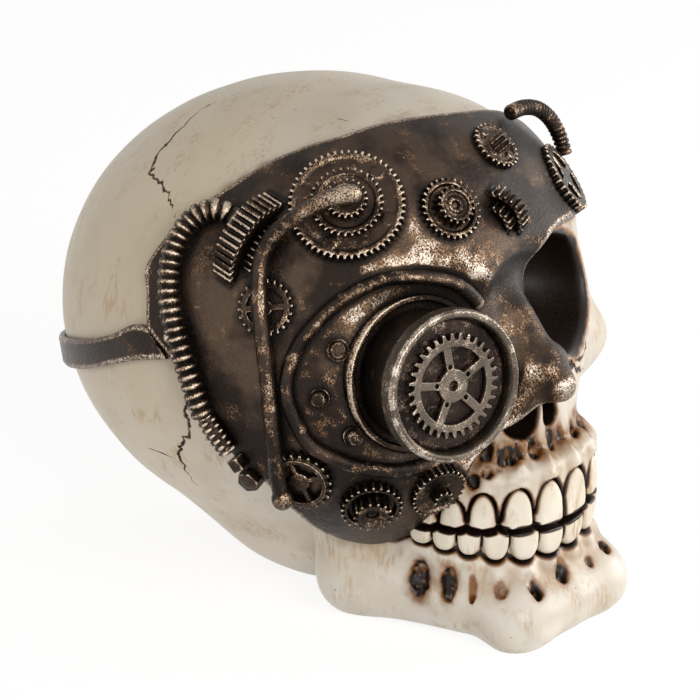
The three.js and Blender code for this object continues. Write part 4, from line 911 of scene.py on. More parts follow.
skullPits = [
    ((-19, -75, 52.5), 1.4, 3.4, 1.0, 0.1), ((-17.4, -79.5, 52.2), 1.0, 3.8, 1.0, 0.1),
    ((-15.6, -82, 51.6), 1.0, 3.8, 1.0, 0.1), ((-12.6, -82, 52), 0.8, 3.0, 0.9, 0.05),
    ((-7.0, -83, 52.2), 1.3, 4.2, 1.0, 0.05), ((0.2, -83.5, 53), 0.9, 4.2, 0.8, 0.05),
    ((5.2, -83.5, 52.6), 0.8, 3.8, 0.6, 0), ((12, -82.5, 51), 1.0, 3.4, 0.7, 0),
    ((-25, -75.5, 46.4), 1.5, 2.6, 0.9, -0.3), ((-22.6, -78, 48.4), 1.0, 2.2, 0.9, 0.2),
    ((18, -79.5, 50), 1.2, 3.2, 0.8, 0), ((24, -75, 47.5), 1.2, 2.8, 0.8, 0)]
jawPits = [
    ((-28.6, -61.8, 16.6), 2.4, 4.8, 1.0, 0.1), ((-26.5, -69.8, 16.4), 1.5, 4.6, 1.0, 0),
    ((-24.4, -76, 15.4), 0.9, 5.0, 0.15, 0), ((-21.6, -82.7, 16.2), 1.5, 3, 0.3, 0),
    ((-15, -88, 15.4), 1.6, 5.2, 1.0, 0), ((-3, -87.6, 16.5), 1.5, 4.0, 1.0, 0.35),
    ((8.6, -88.4, 16), 1.0, 2.6, 0.4, 0), ((17, -86, 15.4), 1.4, 3.4, 0.9, 0),
    ((24.5, -76.5, 15.6), 1.6, 4.0, 0.8, 0), ((27.6, -66, 16), 1.7, 4.2, 0.8, 0)]


def settlePoint(form, point):
    p = np.array([point], dtype=np.float32)
    for step in range(12):
        p = p - slopeAt(form, p)[0] * form(p)[:, None]
    return p[0]


def pitForms(form, table):
    result = []
    for centre, wide, tall, depth, lean in table:
        place = settlePoint(form, centre)
        hollow = oval(tuple(place), (wide * 1.15, wide * 1.15, tall))

        def value(p, hollow=hollow, place=place, lean=lean):
            shifted = p.copy()
            shifted[:, 0] -= (p[:, 2] - place[2]) * lean
            return hollow(shifted)
        result.append((value, wide, depth))
    return result


def pressPits(form, p, pits, ragged):
    near = (p[:, 1] < -50) & (p[:, 2] < 58)
    worked = form[near]
    q = p[near]
    for pit, wide, depth in pits:
        worked = blendHigh(worked, -(pit(q) + ragged[near] + wide * (1 - depth) * 0.8), 1.2)
    form = form.copy()
    form[near] = worked
    return form


def pitShade(p, pits):
    # Black in a pit, brown round it and below it, more ragged further out
    result = np.zeros(len(p), dtype=np.float32)
    ragged = hills(1.1, 17, 0.45)(p)
    for pit, wide, depth in pits:
        away = pit(p)
        below = pit(p + np.array([0, 0, 2.5], dtype=np.float32))
        core = np.clip(0.8 - (away + ragged) / 0.9, 0, 1)
        halo = np.clip(0.9 - (np.minimum(away, below + 1.2) + ragged) / (2.2 + wide), 0, 1) * 0.46
        result = np.maximum(result, np.maximum(core * (0.35 + 0.65 * depth), halo * (0.5 + 0.5 * depth)))
    return result


def craniumCast():
    socket = socketForm()
    nostrils = nostrilForm()
    wear = hills(14, 3, 0.3)
    pits = hills(2.4, 9, 1.0)
    ragged = hills(1.5, 30, 0.5)

    def value(p):
        form = bareBone(p) + wear(p)
        gum = blendLow(form, upperRoots(p), 3.2)
        form = np.where(p[:, 2] < 62, gum, form)
        eaten = np.clip(pits(p) - 0.35, 0, 1) * np.clip(1 - np.abs(p[:, 2] - 50) / 9, 0, 1)
        form = form + eaten * (p[:, 1] < -70) * 0.7
        form = pressPits(form, p, skullPitForms, ragged(p))
        form = blendHigh(form, -socket(p), 3.5)
        form = blendHigh(form, -nostrils(p), 1.6)
        form = blendHigh(form, -(upperGumHoles(p) - 0.35), 0.6)
        form = blendHigh(form, -(lowerRow(p) - 0.4), 0.4)
        return np.maximum(form, -p[:, 2])
    return value


skullPitForms = pitForms(bareBone, skullPits)
craniumForm = craniumCast()
cranium = castPiece("craniumCast", craniumForm, craniumGrid)
crackShare = cutCracks(cranium, bareBone)


def boneShares(piece, form, teeth, dark, crackShare=0.0, gumReach=1.1):
    # Recess: how closely the form hems each point in, near and far, painted as umber wash and painted shade.
    # Wash: paint kept against the mask, the teeth and the cracks
    p = pointsOf(piece)
    normal = normalsOf(piece)
    around = lowest(form, teeth)
    near = np.clip(1 - around(p + normal * 1.2) / 1.2, 0, 1)
    wide = np.clip(1 - around(p + normal * 4.5) / 4.5, 0, 1)
    recess = np.clip(near * 0.9 + np.clip(wide - 0.15, 0, 1) * 0.7, 0, 1)
    outline = maskSolid(p)
    seam = np.clip(1.15 - np.maximum(outline, 0) / 0.75, 0, 1)
    gums = np.clip(1.35 - np.maximum(teeth(p), 0) / gumReach, 0, 1)
    smear = np.clip(1 - outline / 7, 0, 1) * np.clip(0.2 + hills(3.5, 21, 0.35)(p), 0, 0.5)
    wash = np.maximum(np.maximum(seam * 0.85, gums), np.maximum(dark(p), smear))
    setShare(piece, "recess", recess)
    setShare(piece, "wash", np.clip(np.maximum(wash, crackShare), 0, 1))


def socketDark(p):
    inside = np.clip(1.15 - socketForm()(p) / 2.4, 0, 1) * (p[:, 1] < -30)
    ragged = hills(3.0, 12, 0.35)(p)
    inside = np.clip(inside + ragged * (inside > 0.02) * (inside < 0.98), 0, 1)
    stained = np.clip(1.3 - np.abs(p[:, 2] - 51.5) / 5, 0, 1) * (p[:, 1] < -68)
    inside = np.maximum(inside, stained * np.clip(0.36 + ragged * 0.9, 0.05, 0.6))
    nostril = np.clip(0.9 - nostrilForm()(p) / 1.3, 0, 1) * (p[:, 2] < 70)
    return np.maximum.reduce([inside, nostril, pitShade(p, skullPitForms)])


boneShares(cranium, craniumForm, upperRow, socketDark, crackShare)
finishPiece(cranium, "bone", boneFinish, "cranium")
print("cranium made")

# Lower jaw, with the sunken pits below its teeth

plainJaw = jawForm()
jawPitForms = pitForms(plainJaw, jawPits)


def jawCast():
    wear = hills(12, 4, 0.3)
    ragged = hills(1.5, 31, 0.5)
    mouth = upperRow

    def value(p):
        form = plainJaw(p) + wear(p)
        form = np.where(p[:, 2] < 26, blendLow(form, lowerRoots(p), 3.0), form)
        form = pressPits(form, p, jawPitForms, ragged(p))
        form = blendHigh(form, -(lowerGumHoles(p) - 0.7), 0.8)
        form = np.maximum(form, -(mouth(p) - 0.3))
        return np.maximum(form, -p[:, 2])
    return value


mandibleForm = jawCast()
mandible = castPiece("mandibleCast", mandibleForm, mandibleGrid)
boneShares(mandible, mandibleForm, lowerRow, lambda p: pitShade(p, jawPitForms), gumReach=2.0)
finishPiece(mandible, "bone", boneFinish, "mandible")
print("mandible made")


# Each row: its node, its ends, the ends of the band behind it, and which way the other row lies
toothRows = [
    {"node": "upper_teeth", "bottom": 30.0, "top": 43.9, "band": (33.6, 40.4), "across": -2.2},
    {"node": "lower_teeth", "bottom": 21.4, "top": 32.6, "band": (22.4, 29.2), "across": 2.2}]


def teethPiece(spec, crowns, row, others, gum):
    # One mesh of crowns and the band that joins them behind, then its wash by nearness to others
    behind = arch((0, -52), (27.6, 31.6), *spec["band"], 1.0)
    mouth = arch((0, -50), (24.4, 26.5), spec["bottom"] - 20, spec["top"] + 20, 1.0)
    band = carve(behind, mouth, 0.5)
    grain = hills(1.6, 8, 0.05)

    def value(p):
        wall = np.maximum(band(p), p[:, 1] + 46)
        return np.minimum(row(p) + grain(p), wall)
    grid = {"low": (-33, -89, spec["bottom"] - 2), "high": (33, -38, spec["top"] + 2),
            "pitch": 0.34, "quickPitch": 0.5, "limit": 120000}
    piece = castPiece(castName(spec["node"]), value, grid)
    p = pointsOf(piece)
    values = np.sort(np.abs(np.stack([crown(p) for crown in crowns])), axis=0)
    second = values[1]
    beside = np.clip(1.55 - np.maximum(second, 0) / 1.0, 0, 1)
    towards = np.array([0, 0, spec["across"]], dtype=np.float32)
    opposite = np.clip(1.0 - others(p + towards) / 1.4, 0, 1)
    wall = np.clip(values[0] / 0.8 - 0.3, 0, 1)
    against = np.clip(1.45 - np.maximum(gum(p), 0) / 0.9, 0, 1)
    setShare(piece, "wash", np.clip(np.maximum.reduce([beside, opposite * 0.9, wall, against]), 0, 1))
    # Recess of the teeth: umber wash and painted shade near the next crown and near the gum
    setShare(piece, "recess", np.clip(1 - np.maximum(np.minimum(second, gum(p)), 0) / 2.6, 0, 1) * 0.5)
    finishPiece(piece, "tooth", toothFinish, spec["node"])


teethPiece(toothRows[0], upperCrowns, upperRow, lowerRow, craniumForm)
teethPiece(toothRows[1], lowerCrowns, lowerRow, upperRow, mandibleForm)
print("teeth made")

# Mask plate, one cast skin from brow to cheek

def maskWash(piece):
    p = pointsOf(piece)
    outline = maskOutline(p)
    rim = np.exp(-((outline + 0.9) / 0.7) ** 2) * 0.35
    setShare(piece, "edge", np.clip(getShare(piece, "edge") + rim, 0, 1))


maskPiece = castPiece("maskCast", maskSolid, maskGrid)
markWear(maskPiece, 10, 0.35)
maskWash(maskPiece)
print("mask made")


# Frames on the mask: z outward, x level to the right as seen from outside

def frameFrom(origin, axis):
    axis = Vector(axis)
    right = Vector((0, 0, 1)).cross(axis).normalized()
    up = axis.cross(right)
    place = Matrix((right, up, axis)).transposed().to_4x4()
    place.translation = Vector(origin)
    return place


def turnedBy(angle, axis):
    return Matrix.Rotation(math.radians(angle), 4, axis)


def frameOn(lon, lat, lift=0.0, heading=None, tilt=0.0, spin=0.0):
    point, normal = seat(maskSkin, lon, lat)
    place = frameFrom(point[0] + normal[0] * lift, normal[0])
    if heading is not None:
        place = place @ turnedBy(heading, "Z") @ turnedBy(90 - tilt, "Y")
    return place @ turnedBy(spin, "Z")


eyeFrame = frameFrom(eyeFront, eyeAxis)


def placePiece(piece, place):
    piece.data.transform(Matrix.Translation(place.translation * metre) @ place.to_3x3().to_4x4())
    return piece


# Turned and flat work

def rounded(profile, radius, closed):
    # Each corner of a turned profile becomes a short arc
    result = []
    count = len(profile)
    for index, corner in enumerate(profile):
        corner = np.array(corner, dtype=float)
        if not closed and index in (0, count - 1):
            result.append(corner)
            continue
        before = np.array(profile[index - 1], dtype=float) - corner
        after = np.array(profile[(index + 1) % count], dtype=float) - corner
        cut = min(radius, np.linalg.norm(before) * 0.45, np.linalg.norm(after) * 0.45)
        start = corner + before / np.linalg.norm(before) * cut
        end = corner + after / np.linalg.norm(after) * cut
        for t in (0, 0.25, 0.5, 0.75, 1):
            result.append((1 - t) ** 2 * start + 2 * t * (1 - t) * corner + t * t * end)
    return result


def fineProfile(profile, closed, step):
    # Long straight stretches are split, so that wear can vary along them
    result = []
    pairs = list(zip(profile, profile[1:] + profile[:1])) if closed else list(zip(profile, profile[1:]))
    for a, b in pairs:
        a, b = np.array(a), np.array(b)
        parts = max(1, int(np.linalg.norm(b - a) / step))
        result.extend(a + (b - a) * part / parts for part in range(parts))
    if not closed:
        result.append(np.array(profile[-1]))
    return result


def turnPiece(name, profile, segments=128, rounding=0.3, step=0.7):
    closed = profile[0][0] > 0
    outline = fineProfile(rounded(profile, rounding, closed), closed, step)
    points, faces = [], []
    rings = []
    for radius, height in outline:
        if radius < 1e-6:
            rings.append([len(points)])
            points.append((0, 0, height))
            continue
        rings.append(list(range(len(points), len(points) + segments)))
        turns = np.arange(segments) * 2 * math.pi / segments
        points.extend(zip(np.cos(turns) * radius, np.sin(turns) * radius, np.full(segments, height)))
    pairs = list(zip(rings, rings[1:] + rings[:1])) if closed else list(zip(rings, rings[1:]))
    for low, high in pairs:
        for side in range(segments):
            following = (side + 1) % segments
            if len(low) == 1:
                faces.append((low[0], high[following], high[side]))
            elif len(high) == 1:
                faces.append((low[side], low[following], high[0]))
            else:
                faces.append((low[side], low[following], high[following], high[side]))
    return makePiece(name, points, faces)


def flatPiece(name, outlines, thickness, bevel):
    # A plate from outlines in millimetres: the first is its rim, the others are holes
    curve = bpy.data.curves.new(name, "CURVE")
    curve.dimensions = "2D"
    curve.fill_mode = "BOTH"
    curve.extrude = (thickness / 2 - bevel) * metre
    curve.bevel_depth = bevel * metre
    curve.bevel_resolution = 1
    curve.offset = -bevel * metre
    for outline in outlines:
        spline = curve.splines.new("POLY")
        spline.points.add(len(outline) - 1)
        for point, (x, y) in zip(spline.points, outline):
            point.co = (x * metre, y * metre, 0, 1)
        spline.use_cyclic_u = True
    holder = linkPiece(name, curve)
    graph = bpy.context.evaluated_depsgraph_get()
    mesh = bpy.data.meshes.new_from_object(holder.evaluated_get(graph))
    bpy.data.objects.remove(holder)
    mesh.transform(Matrix.Translation((0, 0, thickness / 2 * metre)))
    turnOutwards(mesh, 1e-6)
    return linkPiece(name, mesh)


def circle(radius, count=64, x=0.0, y=0.0):
    turns = np.arange(count) * 2 * math.pi / count
    return [(x + math.cos(t) * radius, y + math.sin(t) * radius) for t in turns]


def spokeWindow(inner, outer, spoke, count, index):
    step = 2 * math.pi / count
    points = []
    for ring, radius in enumerate((outer, inner)):
        margin = math.asin(min(spoke / 2 / radius, 0.9))
        turns = np.linspace(index * step + margin, (index + 1) * step - margin, 12)
        points.extend((math.cos(t) * radius, math.sin(t) * radius) for t in (turns[::-1] if ring else turns))
    return points[::-1]


# Geometry Nodes: copies of one tooth round a wheel's body

def newTree(name, inputs):
    tree = bpy.data.node_groups.new(name, "GeometryNodeTree")
    sockets = {}
    for label, kind in inputs:
        sockets[label] = tree.interface.new_socket(label, in_out="INPUT", socket_type=kind).identifier
    tree.interface.new_socket("Geometry", in_out="OUTPUT", socket_type="NodeSocketGeometry")
    start = tree.nodes.new("NodeGroupInput").outputs
    return tree, sockets, start


def closeTree(tree, geometry, finish):
    real = addNode(tree, (geometry,), "GeometryNodeRealizeInstances")
    coated = addNode(tree, {"Geometry": real, "Material": finish}, "GeometryNodeSetMaterial")
    addNode(tree, {"Geometry": coated}, "NodeGroupOutput")


def toothRingTree():
    tree, sockets, start = newTree("toothRing", [
        ("Tooth", "NodeSocketGeometry"), ("Body", "NodeSocketObject"), ("Teeth", "NodeSocketInt"),
        ("Finish", "NodeSocketMaterial")])
    line = addNode(tree, {"Count": start["Teeth"], "Offset": (0, 0, 0)}, "GeometryNodeMeshLine")
    step = addNode(tree, (2 * math.pi, start["Teeth"]), "ShaderNodeMath", operation="DIVIDE")
    index = addNode(tree, {}, "GeometryNodeInputIndex")
    turn = addNode(tree, {"Z": addNode(tree, (index, step), **product)}, "ShaderNodeCombineXYZ")
    copies = addNode(tree, {"Points": line, "Instance": start["Tooth"], "Rotation": turn},
                     "GeometryNodeInstanceOnPoints")
    body = addNode(tree, {"Object": start["Body"]}, "GeometryNodeObjectInfo", result="Geometry")
    both = addNode(tree, {}, "GeometryNodeJoinGeometry")
    for geometry in (copies, body):
        tree.links.new(geometry, both.node.inputs[0])
    closeTree(tree, both, start["Finish"])
    return tree, sockets


toothRing, toothSockets = toothRingTree()


def ribbedTree():
    tree, sockets, start = newTree("ribbedHose", [
        ("Line", "NodeSocketGeometry"), ("Ribs", "NodeSocketInt"), ("Radius", "NodeSocketFloat"),
        ("Groove", "NodeSocketFloat"), ("Finish", "NodeSocketMaterial")])
    perRib, around = 10, 24
    curve = addNode(tree, {"Mesh": start["Line"]}, "GeometryNodeMeshToCurve")
    count = addNode(tree, (addNode(tree, (start["Ribs"], perRib), **product), 1), **addition)
    even = addNode(tree, {"Curve": curve, "Count": count}, "GeometryNodeResampleCurve")
    index = addNode(tree, {}, "GeometryNodeInputIndex")
    rise = addNode(tree, (index, math.pi / perRib), **product)
    for operation, value in (("SINE", 0), ("ABSOLUTE", 0), ("POWER", 0.6)):
        rise = addNode(tree, (rise, value), "ShaderNodeMath", operation=operation)
    drop = addNode(tree, (addNode(tree, (1, rise), **difference), start["Groove"]), **product)
    radius = addNode(tree, (start["Radius"], drop), **difference)
    ring = addNode(tree, {"Resolution": around, "Radius": 1.0}, "GeometryNodeCurvePrimitiveCircle")
    skin = addNode(tree, {"Curve": even, "Profile Curve": ring, "Scale": radius, "Fill Caps": True},
                   "GeometryNodeCurveToMesh")
    closeTree(tree, skin, start["Finish"])
    return tree, sockets


ribbedHose, hoseSockets = ribbedTree()


def applyTree(piece, tree, values):
    modifier = piece.modifiers.new(tree.name, "NODES")
    modifier.node_group = tree
    for identifier, value in values.items():
        modifier[identifier] = value
    return bakePiece(piece)


def softenPiece(piece, voxel, rounds=2):
    # One cast skin over everything joined, with slightly softened edges
    remesh = piece.modifiers.new("oneSkin", "REMESH")
    remesh.mode = "VOXEL"
    remesh.voxel_size = voxel * metre
    remesh.adaptivity = 0
    smooth = piece.modifiers.new("soften", "SMOOTH")
    smooth.factor = 0.5
    smooth.iterations = rounds
    bakePiece(piece)
    piece.data.shade_smooth()
    return piece


reliefPieces = []


def finishRelief(piece, node, finish=None, slotName="bronze", span=0.16):
    markWear(piece, 5, span)
    # Wash and painted contact shade: each relief piece darkens where it sinks into the mask and for 1.1 mm
    # above it
    depth = -maskSkin(pointsOf(piece))
    setShare(piece, "wash", np.clip(1 + depth / 1.1, 0, 1) * 0.75)
    reliefPieces.append(piece)
    finishPiece(piece, slotName, finish or castFinish, node)
    return piece


def polishNear(piece, point, reach, amount):
    # Handled more at one end than at the other
    away = np.linalg.norm(pointsOf(piece) - np.array(point, dtype=np.float32), axis=1)
    polish = amount * np.clip(1.2 - away / reach, 0, 1)
    setShare(piece, "edge", np.clip(getShare(piece, "edge") + polish, 0, 1))


def dullEdges(piece, amount):
    # Only the very crests stay bright
    setShare(piece, "edge", np.clip(getShare(piece, "edge") - amount, 0, 1) / (1 - amount))


def wheel(node, place, spec, finish=None, slotName="bronze"):
    # A toothed wheel: a turned or windowed body, and its teeth copied round it
    name = castName(node)
    radius, teeth, depth = spec["radius"], spec["teeth"], spec["depth"]
    base, top = spec["base"], spec["top"]
    root = radius - depth
    pitch = 2 * math.pi * root / teeth
    foot, tip = pitch * spec.get("footShare", 0.31), pitch * spec.get("tipShare", 0.17)
    hook = spec.get("hook", 0.0) * pitch
    outline = [(root - 0.7, -foot), (radius, -tip + hook), (radius, tip + hook), (root - 0.7, foot)]
    tooth = flatPiece(name + "Tooth", [outline], top - base, 0.12)
    tooth.data.transform(Matrix.Translation((0, 0, base * metre)))
    if "windows" in spec:
        count, hub, rimWide, spoke = spec["windows"]
        holes = [spokeWindow(hub, root - rimWide, spoke, count, index) for index in range(count)]
        holes += [circle(*hole) for hole in spec.get("holes", [])]
        body = flatPiece(name + "Body", [circle(root, 96)] + holes, top - base, 0.15)
        body.data.transform(Matrix.Translation((0, 0, base * metre)))
    else:
        profile = [(0, base), (root, base), (root, top), *spec["face"],
                   (0, spec.get("middle", spec["face"][-1][1]))]
        body = turnPiece(name + "Body", profile, 96, 0.2)
    ringed = applyTree(tooth, toothRing, {
        toothSockets["Body"]: body, toothSockets["Teeth"]: teeth, toothSockets["Finish"]: castFinish})
    bpy.data.objects.remove(body)
    for extra in spec.get("extras", []):
        joinMesh(ringed, extra)
    softenPiece(ringed, spec.get("voxel", 0.2) * (1))
    ringed.name = name
    ringed.data.name = name
    placePiece(ringed, place)
    return finishRelief(ringed, node, finish, slotName)


def joinMesh(piece, other):
    mesh = bmesh.new()
    mesh.from_mesh(piece.data)
    mesh.from_mesh(other.data)
    mesh.to_mesh(piece.data)
    mesh.free()
    bpy.data.objects.remove(other)


def bosses(radius, height, base, away, turns):
    profile = [(0, base), (radius, base), (radius, base + height), (0, base + height)]
    pieces = []
    for turn in np.radians(turns):
        x, y = away * math.cos(turn), away * math.sin(turn)
        piece = turnPiece("boss", profile, 32, 0.25)
        piece.data.transform(Matrix.Translation((x * metre, y * metre, 0)))
        pieces.append(piece)
    return pieces


# Wheels: millimetres, heights from the mask, windows as count, hub, rim and spoke widths

stackFrame = frameOn(51.3, 43)
drumFrame = frameOn(77.2, 34.6, -7.5, -20.5, 3.3)
tiltFrame = frameOn(4.9, 37.1, -2.9, -157, 2.6)
cupFrame = frameOn(45.9, -21.6)
cheekFrame = frameOn(30.7, -20.8)
foreheadFrame = frameOn(22.1, 40.6)
crownFrame = frameOn(-7.2, 51.2)
wheels = [
    # Stack over the temple, stepping up to the hub
    ("big_gear", stackFrame, {
        "radius": 14.8, "teeth": 52, "depth": 1.0, "base": -4.5, "top": 1.5, "voxel": 0.27,
        "face": [(12.9, 1.5), (12.5, 1.1), (9.6, 1.1)],
        "extras": bosses(1.7, 0.45, 1.0, 11.3, [50, 165, 250, 340])}),
    ("middle_gear", stackFrame, {
        "radius": 9.3, "teeth": 32, "depth": 0.95, "base": 1.2, "top": 3.15, "voxel": 0.22,
        "face": [(7.4, 3.15), (7.0, 2.7), (5.6, 2.7)]}),
    ("hub_gear", stackFrame, {
        "radius": 5.4, "teeth": 20, "depth": 0.9, "base": 2.8, "top": 5.5, "face": [(3.7, 5.5), (3.3, 4.9)]}),
    # Drum wheel standing on its edge with a smaller one behind it, and the tilted pair
    ("drum_gear", drumFrame, {
        "radius": 14.5, "teeth": 46, "depth": 1.1, "base": -3.25, "top": 3.25, "tipShare": 0.2, "voxel": 0.26,
        "face": [(11.9, 3.25), (11.5, 2.4), (9, 2.4)]}),
    ("drum_pinion", drumFrame, {
        "radius": 10.2, "teeth": 34, "depth": 1.0, "base": 3.4, "top": 6.0, "voxel": 0.24,
        "face": [(8.2, 6.0), (7.8, 5.4)]}),
    ("tilted_gear", tiltFrame, {
        "radius": 7.8, "teeth": 26, "depth": 1.1, "base": -4, "top": 0.0, "face": [(6.0, 0.0), (5.7, -0.5)]}),
    ("tilted_pinion", tiltFrame, {
        "radius": 5.6, "teeth": 18, "depth": 1.0, "base": 0.0, "top": 2.95,
        "face": [(3.9, 2.95), (3.5, 2.3)]}),
    # Spoked and dished wheels of the temple and the cheek
    ("temple_gear", frameOn(69.8, 20.5, spin=10), {
        "radius": 7.3, "teeth": 22, "depth": 1.0, "base": -2, "top": 1.1, "windows": (4, 1.9, 1.3, 1.5)}),
    ("ring_gear", frameOn(60.8, -15.7, spin=20), {
        "radius": 8.4, "teeth": 22, "depth": 1.0, "base": -2, "top": 1.6, "windows": (4, 2.6, 1.3, 1.2),
        "extras": [turnPiece("ringRim", [(6.0, 1.2), (7.2, 1.2), (7.2, 2.3), (6.0, 2.3)], 64, 0.3)]}),
    ("cup_gear", cupFrame, {
        "radius": 7.9, "teeth": 24, "depth": 1.0, "base": -2, "top": 2.4, "face": [(6.3, 2.4), (6.0, 0.4)],
        "middle": 0.3}),
    ("cup_pinion", cupFrame, {
        "radius": 5.0, "teeth": 14, "depth": 1.1, "base": 0.1, "top": 5.2,
        "face": [(3.2, 5.2), (2.5, 4.4), (1.6, 4.1), (1.4, 3.0)]}),
    ("cheek_gear", cheekFrame, {
        "radius": 7.6, "teeth": 26, "depth": 0.95, "base": -2.5, "top": 1.6,
        "face": [(6.0, 1.6), (5.6, 1.15)], "middle": 1.1}),
    ("cheek_hub", cheekFrame, {
        "radius": 2.7, "teeth": 9, "depth": 0.8, "base": 0.9, "top": 4.1, "voxel": 0.18,
        "face": [(1.1, 4.1), (0.9, 3.2)]}),
    # Wheels of the forehead, the crown and the far brow
    ("forehead_gear", foreheadFrame, {
        "radius": 8.2, "teeth": 28, "depth": 0.9, "base": -2, "top": 1.65, "face": [(6.5, 1.65), (6.1, 0.6)],
        "middle": 0.55}),
    ("forehead_hub", foreheadFrame, {
        "radius": 5.1, "teeth": 17, "depth": 0.9, "base": 0.3, "top": 4.5, "voxel": 0.18,
        "face": [(3.8, 4.5), (3.4, 3.6), (2.3, 3.6), (2.0, 4.2), (1.2, 4.2), (0.9, 3.2)]}),
    ("crown_gear", crownFrame, {
        "radius": 6.9, "teeth": 24, "depth": 0.9, "base": -2, "top": 1.35, "face": [(5.5, 1.35), (5.2, 0.95)],
        "middle": 0.9, "extras": bosses(1.1, 0.7, 1.1, 4.4, [20, 110, 200, 290])}),
    ("crown_pinion", crownFrame @ turnedBy(24, "Y"), {
        "radius": 2.5, "teeth": 9, "depth": 0.8, "base": 0.2, "top": 4.2, "voxel": 0.16,
        "face": [(1.0, 4.2), (0.8, 3.6)]}),
    ("brow_gear", frameOn(-36.5, 35.3), {
        "radius": 10, "teeth": 30, "depth": 1.0, "base": -3, "top": 1.35, "windows": (4, 3.0, 1.8, 2.2),
        "voxel": 0.24})]
for node, place, spec in wheels:
    wheel(node, place, spec)
print("wheels made")


# Hoses, the pipe and the tube round the eyepiece, laid on the mask

def laid(route, radius, stack=5.5):
    points = []
    for lon, lat, stackShare, radiusShare in route:
        point, normal = seat(maskSkin, lon, lat)
        points.append(point[0] + normal[0] * (stackShare * stack + radiusShare * radius))
    return points


pipeRoute = [
    [47.4, 42.6, 1.25, 1.2], [51.9, 42.5, 1.2, 1.2], [56.1, 41.6, 1.05, 1.2], [64, 38.4, 0.6, 1.15],
    [69.2, 35.1, 0.28, 1.15], [71.1, 30.2, 0.27, 1.15], [70.5, 22.1, 0.27, 1.15], [68.4, 11.7, 0.15, 1],
    [66.9, 1.3, 0, 0.7], [65.5, -7.2, 0.15, 0.9], [64.5, -14.1, 0.4, 1], [63.7, -18.2, 0.5, 1]]
hoseRoute = [
    [83, 38.5, 0, -0.2], [87, 38.9, 0, 0.8], [91, 37.6, 0, 1.15], [93.6, 35, 0, 1.15], [94.9, 31, 0, 1.15],
    [94.7, 26.2, 0, 1.15], [93, 20.5, 0, 1.15], [90.3, 14.6, 0, 1.15], [87.4, 8.8, 0, 1.15],
    [84.9, 3.1, 0, 1.15], [82.7, -1.9, 0, 1.15], [81.7, -4.2, 0, 1.15]]
ferruleRoute = [[81.8, -4.0, 0, 1.05], [79.6, -7.4, 0, 0.9], [77.6, -10, 0, 0.8], [76.3, -11.8, 0, 0.7]]
browRoute = [
    [-28.5, 54.4, 0, 1.15], [-36, 52.5, 0, 2], [-43, 49, 0, 2.6], [-47.5, 44.5, 0, 2.6],
    [-48.6, 40.3, 0, 2.1], [-47.3, 36.5, 0, 1.3]]
rimRoute = [
    [15.5, 18.8, 0, -0.4], [17.8, 20.8, 0, 0], [21.8, 24.3, 0, 0.35], [26, 26.3, 0, 0.4],
    [35.8, 27.7, 0, 0.4], [44.5, 26.7, 0, 0.4], [53.6, 22.1, 0, 0.4], [60.5, 14.9, 0, 0.4],
    [63.2, 8.4, 0, 0.4], [63.4, 2.7, 0, 0.4], [61.3, -2.8, 0, 0.4], [58.4, -7.2, 0, 0.4],
    [53.3, -10, 0, 0.4], [46.3, -12.5, 0, 0.4], [39.7, -14.3, 0, 0.4], [33, -15, 0, 0.2],
    [28, -14.6, 0, -0.4]]
hoses = [
    {"name": "hoseCast", "node": "corrugated_hose", "route": hoseRoute,
     "radius": 2.85, "groove": 1.0, "ribs": 27},
    {"name": "browHoseCast", "node": "brow_hose", "route": browRoute,
     "radius": 2.15, "groove": 0.55, "ribs": 22}]
tubeSizes = {"pipe": 2.1, "pipeLength": 120, "rim": 1.9, "rimLength": 150, "ferrule": 2.6}


def evenLine(points, step):
    line = smoothLine(points, 40 * len(points))
    walked = np.concatenate([[0], np.cumsum(np.linalg.norm(np.diff(line, axis=0), axis=1))])
    places = np.linspace(0, walked[-1], max(2, int(walked[-1] / step)))
    return np.stack([np.interp(places, walked, line[:, axis]) for axis in range(3)], -1)


def sweepPiece(name, line, radiusAt, sides=28):
    # A tube whose radius may change along it and round it, closed by two domes
    tangents = np.gradient(line, axis=0)
    tangents /= np.linalg.norm(tangents, axis=1)[:, None]
    side = np.cross(tangents[0], (0, 0, 1))
    side /= np.linalg.norm(side)
    points, faces = [], []
    turns = np.arange(sides) * 2 * math.pi / sides
    for index, (centre, tangent) in enumerate(zip(line, tangents)):
        side = side - tangent * (side @ tangent)
        side /= np.linalg.norm(side)
        other = np.cross(tangent, side)
        radii = radiusAt(index / (len(line) - 1), turns)
        ring = centre + np.outer(np.cos(turns) * radii, side) + np.outer(np.sin(turns) * radii, other)
        points.extend(ring)
    for index in range(len(line) - 1):
        for corner in range(sides):
            a = index * sides + corner
            b = index * sides + (corner + 1) % sides
            faces.append((a, b, b + sides, a + sides))
    for end, ring in ((0, 0), (-1, (len(line) - 1) * sides)):
        points.append(line[end])
        for corner in range(sides):
            pair = (ring + corner, ring + (corner + 1) % sides)
            faces.append((len(points) - 1, *(pair[::-1] if end == 0 else pair)))
    return makePiece(name, points, faces)


def domed(radius, length, dome):
    # Full radius along the tube, rounded off over the last stretch of each end
    def value(share, turns):
        end = min(share, 1 - share) * length
        return radius * math.sqrt(max(1 - max(1 - end / dome, 0) ** 2, 0.02)) * np.ones(len(turns))
    return value


def knobbed(radius, length, dome):
    plain = domed(radius, length, dome)

    def value(share, turns):
        return plain(share, turns) * (1 + 0.32 * max(0, 1 - share * length / 16) ** 1.5)
    return value


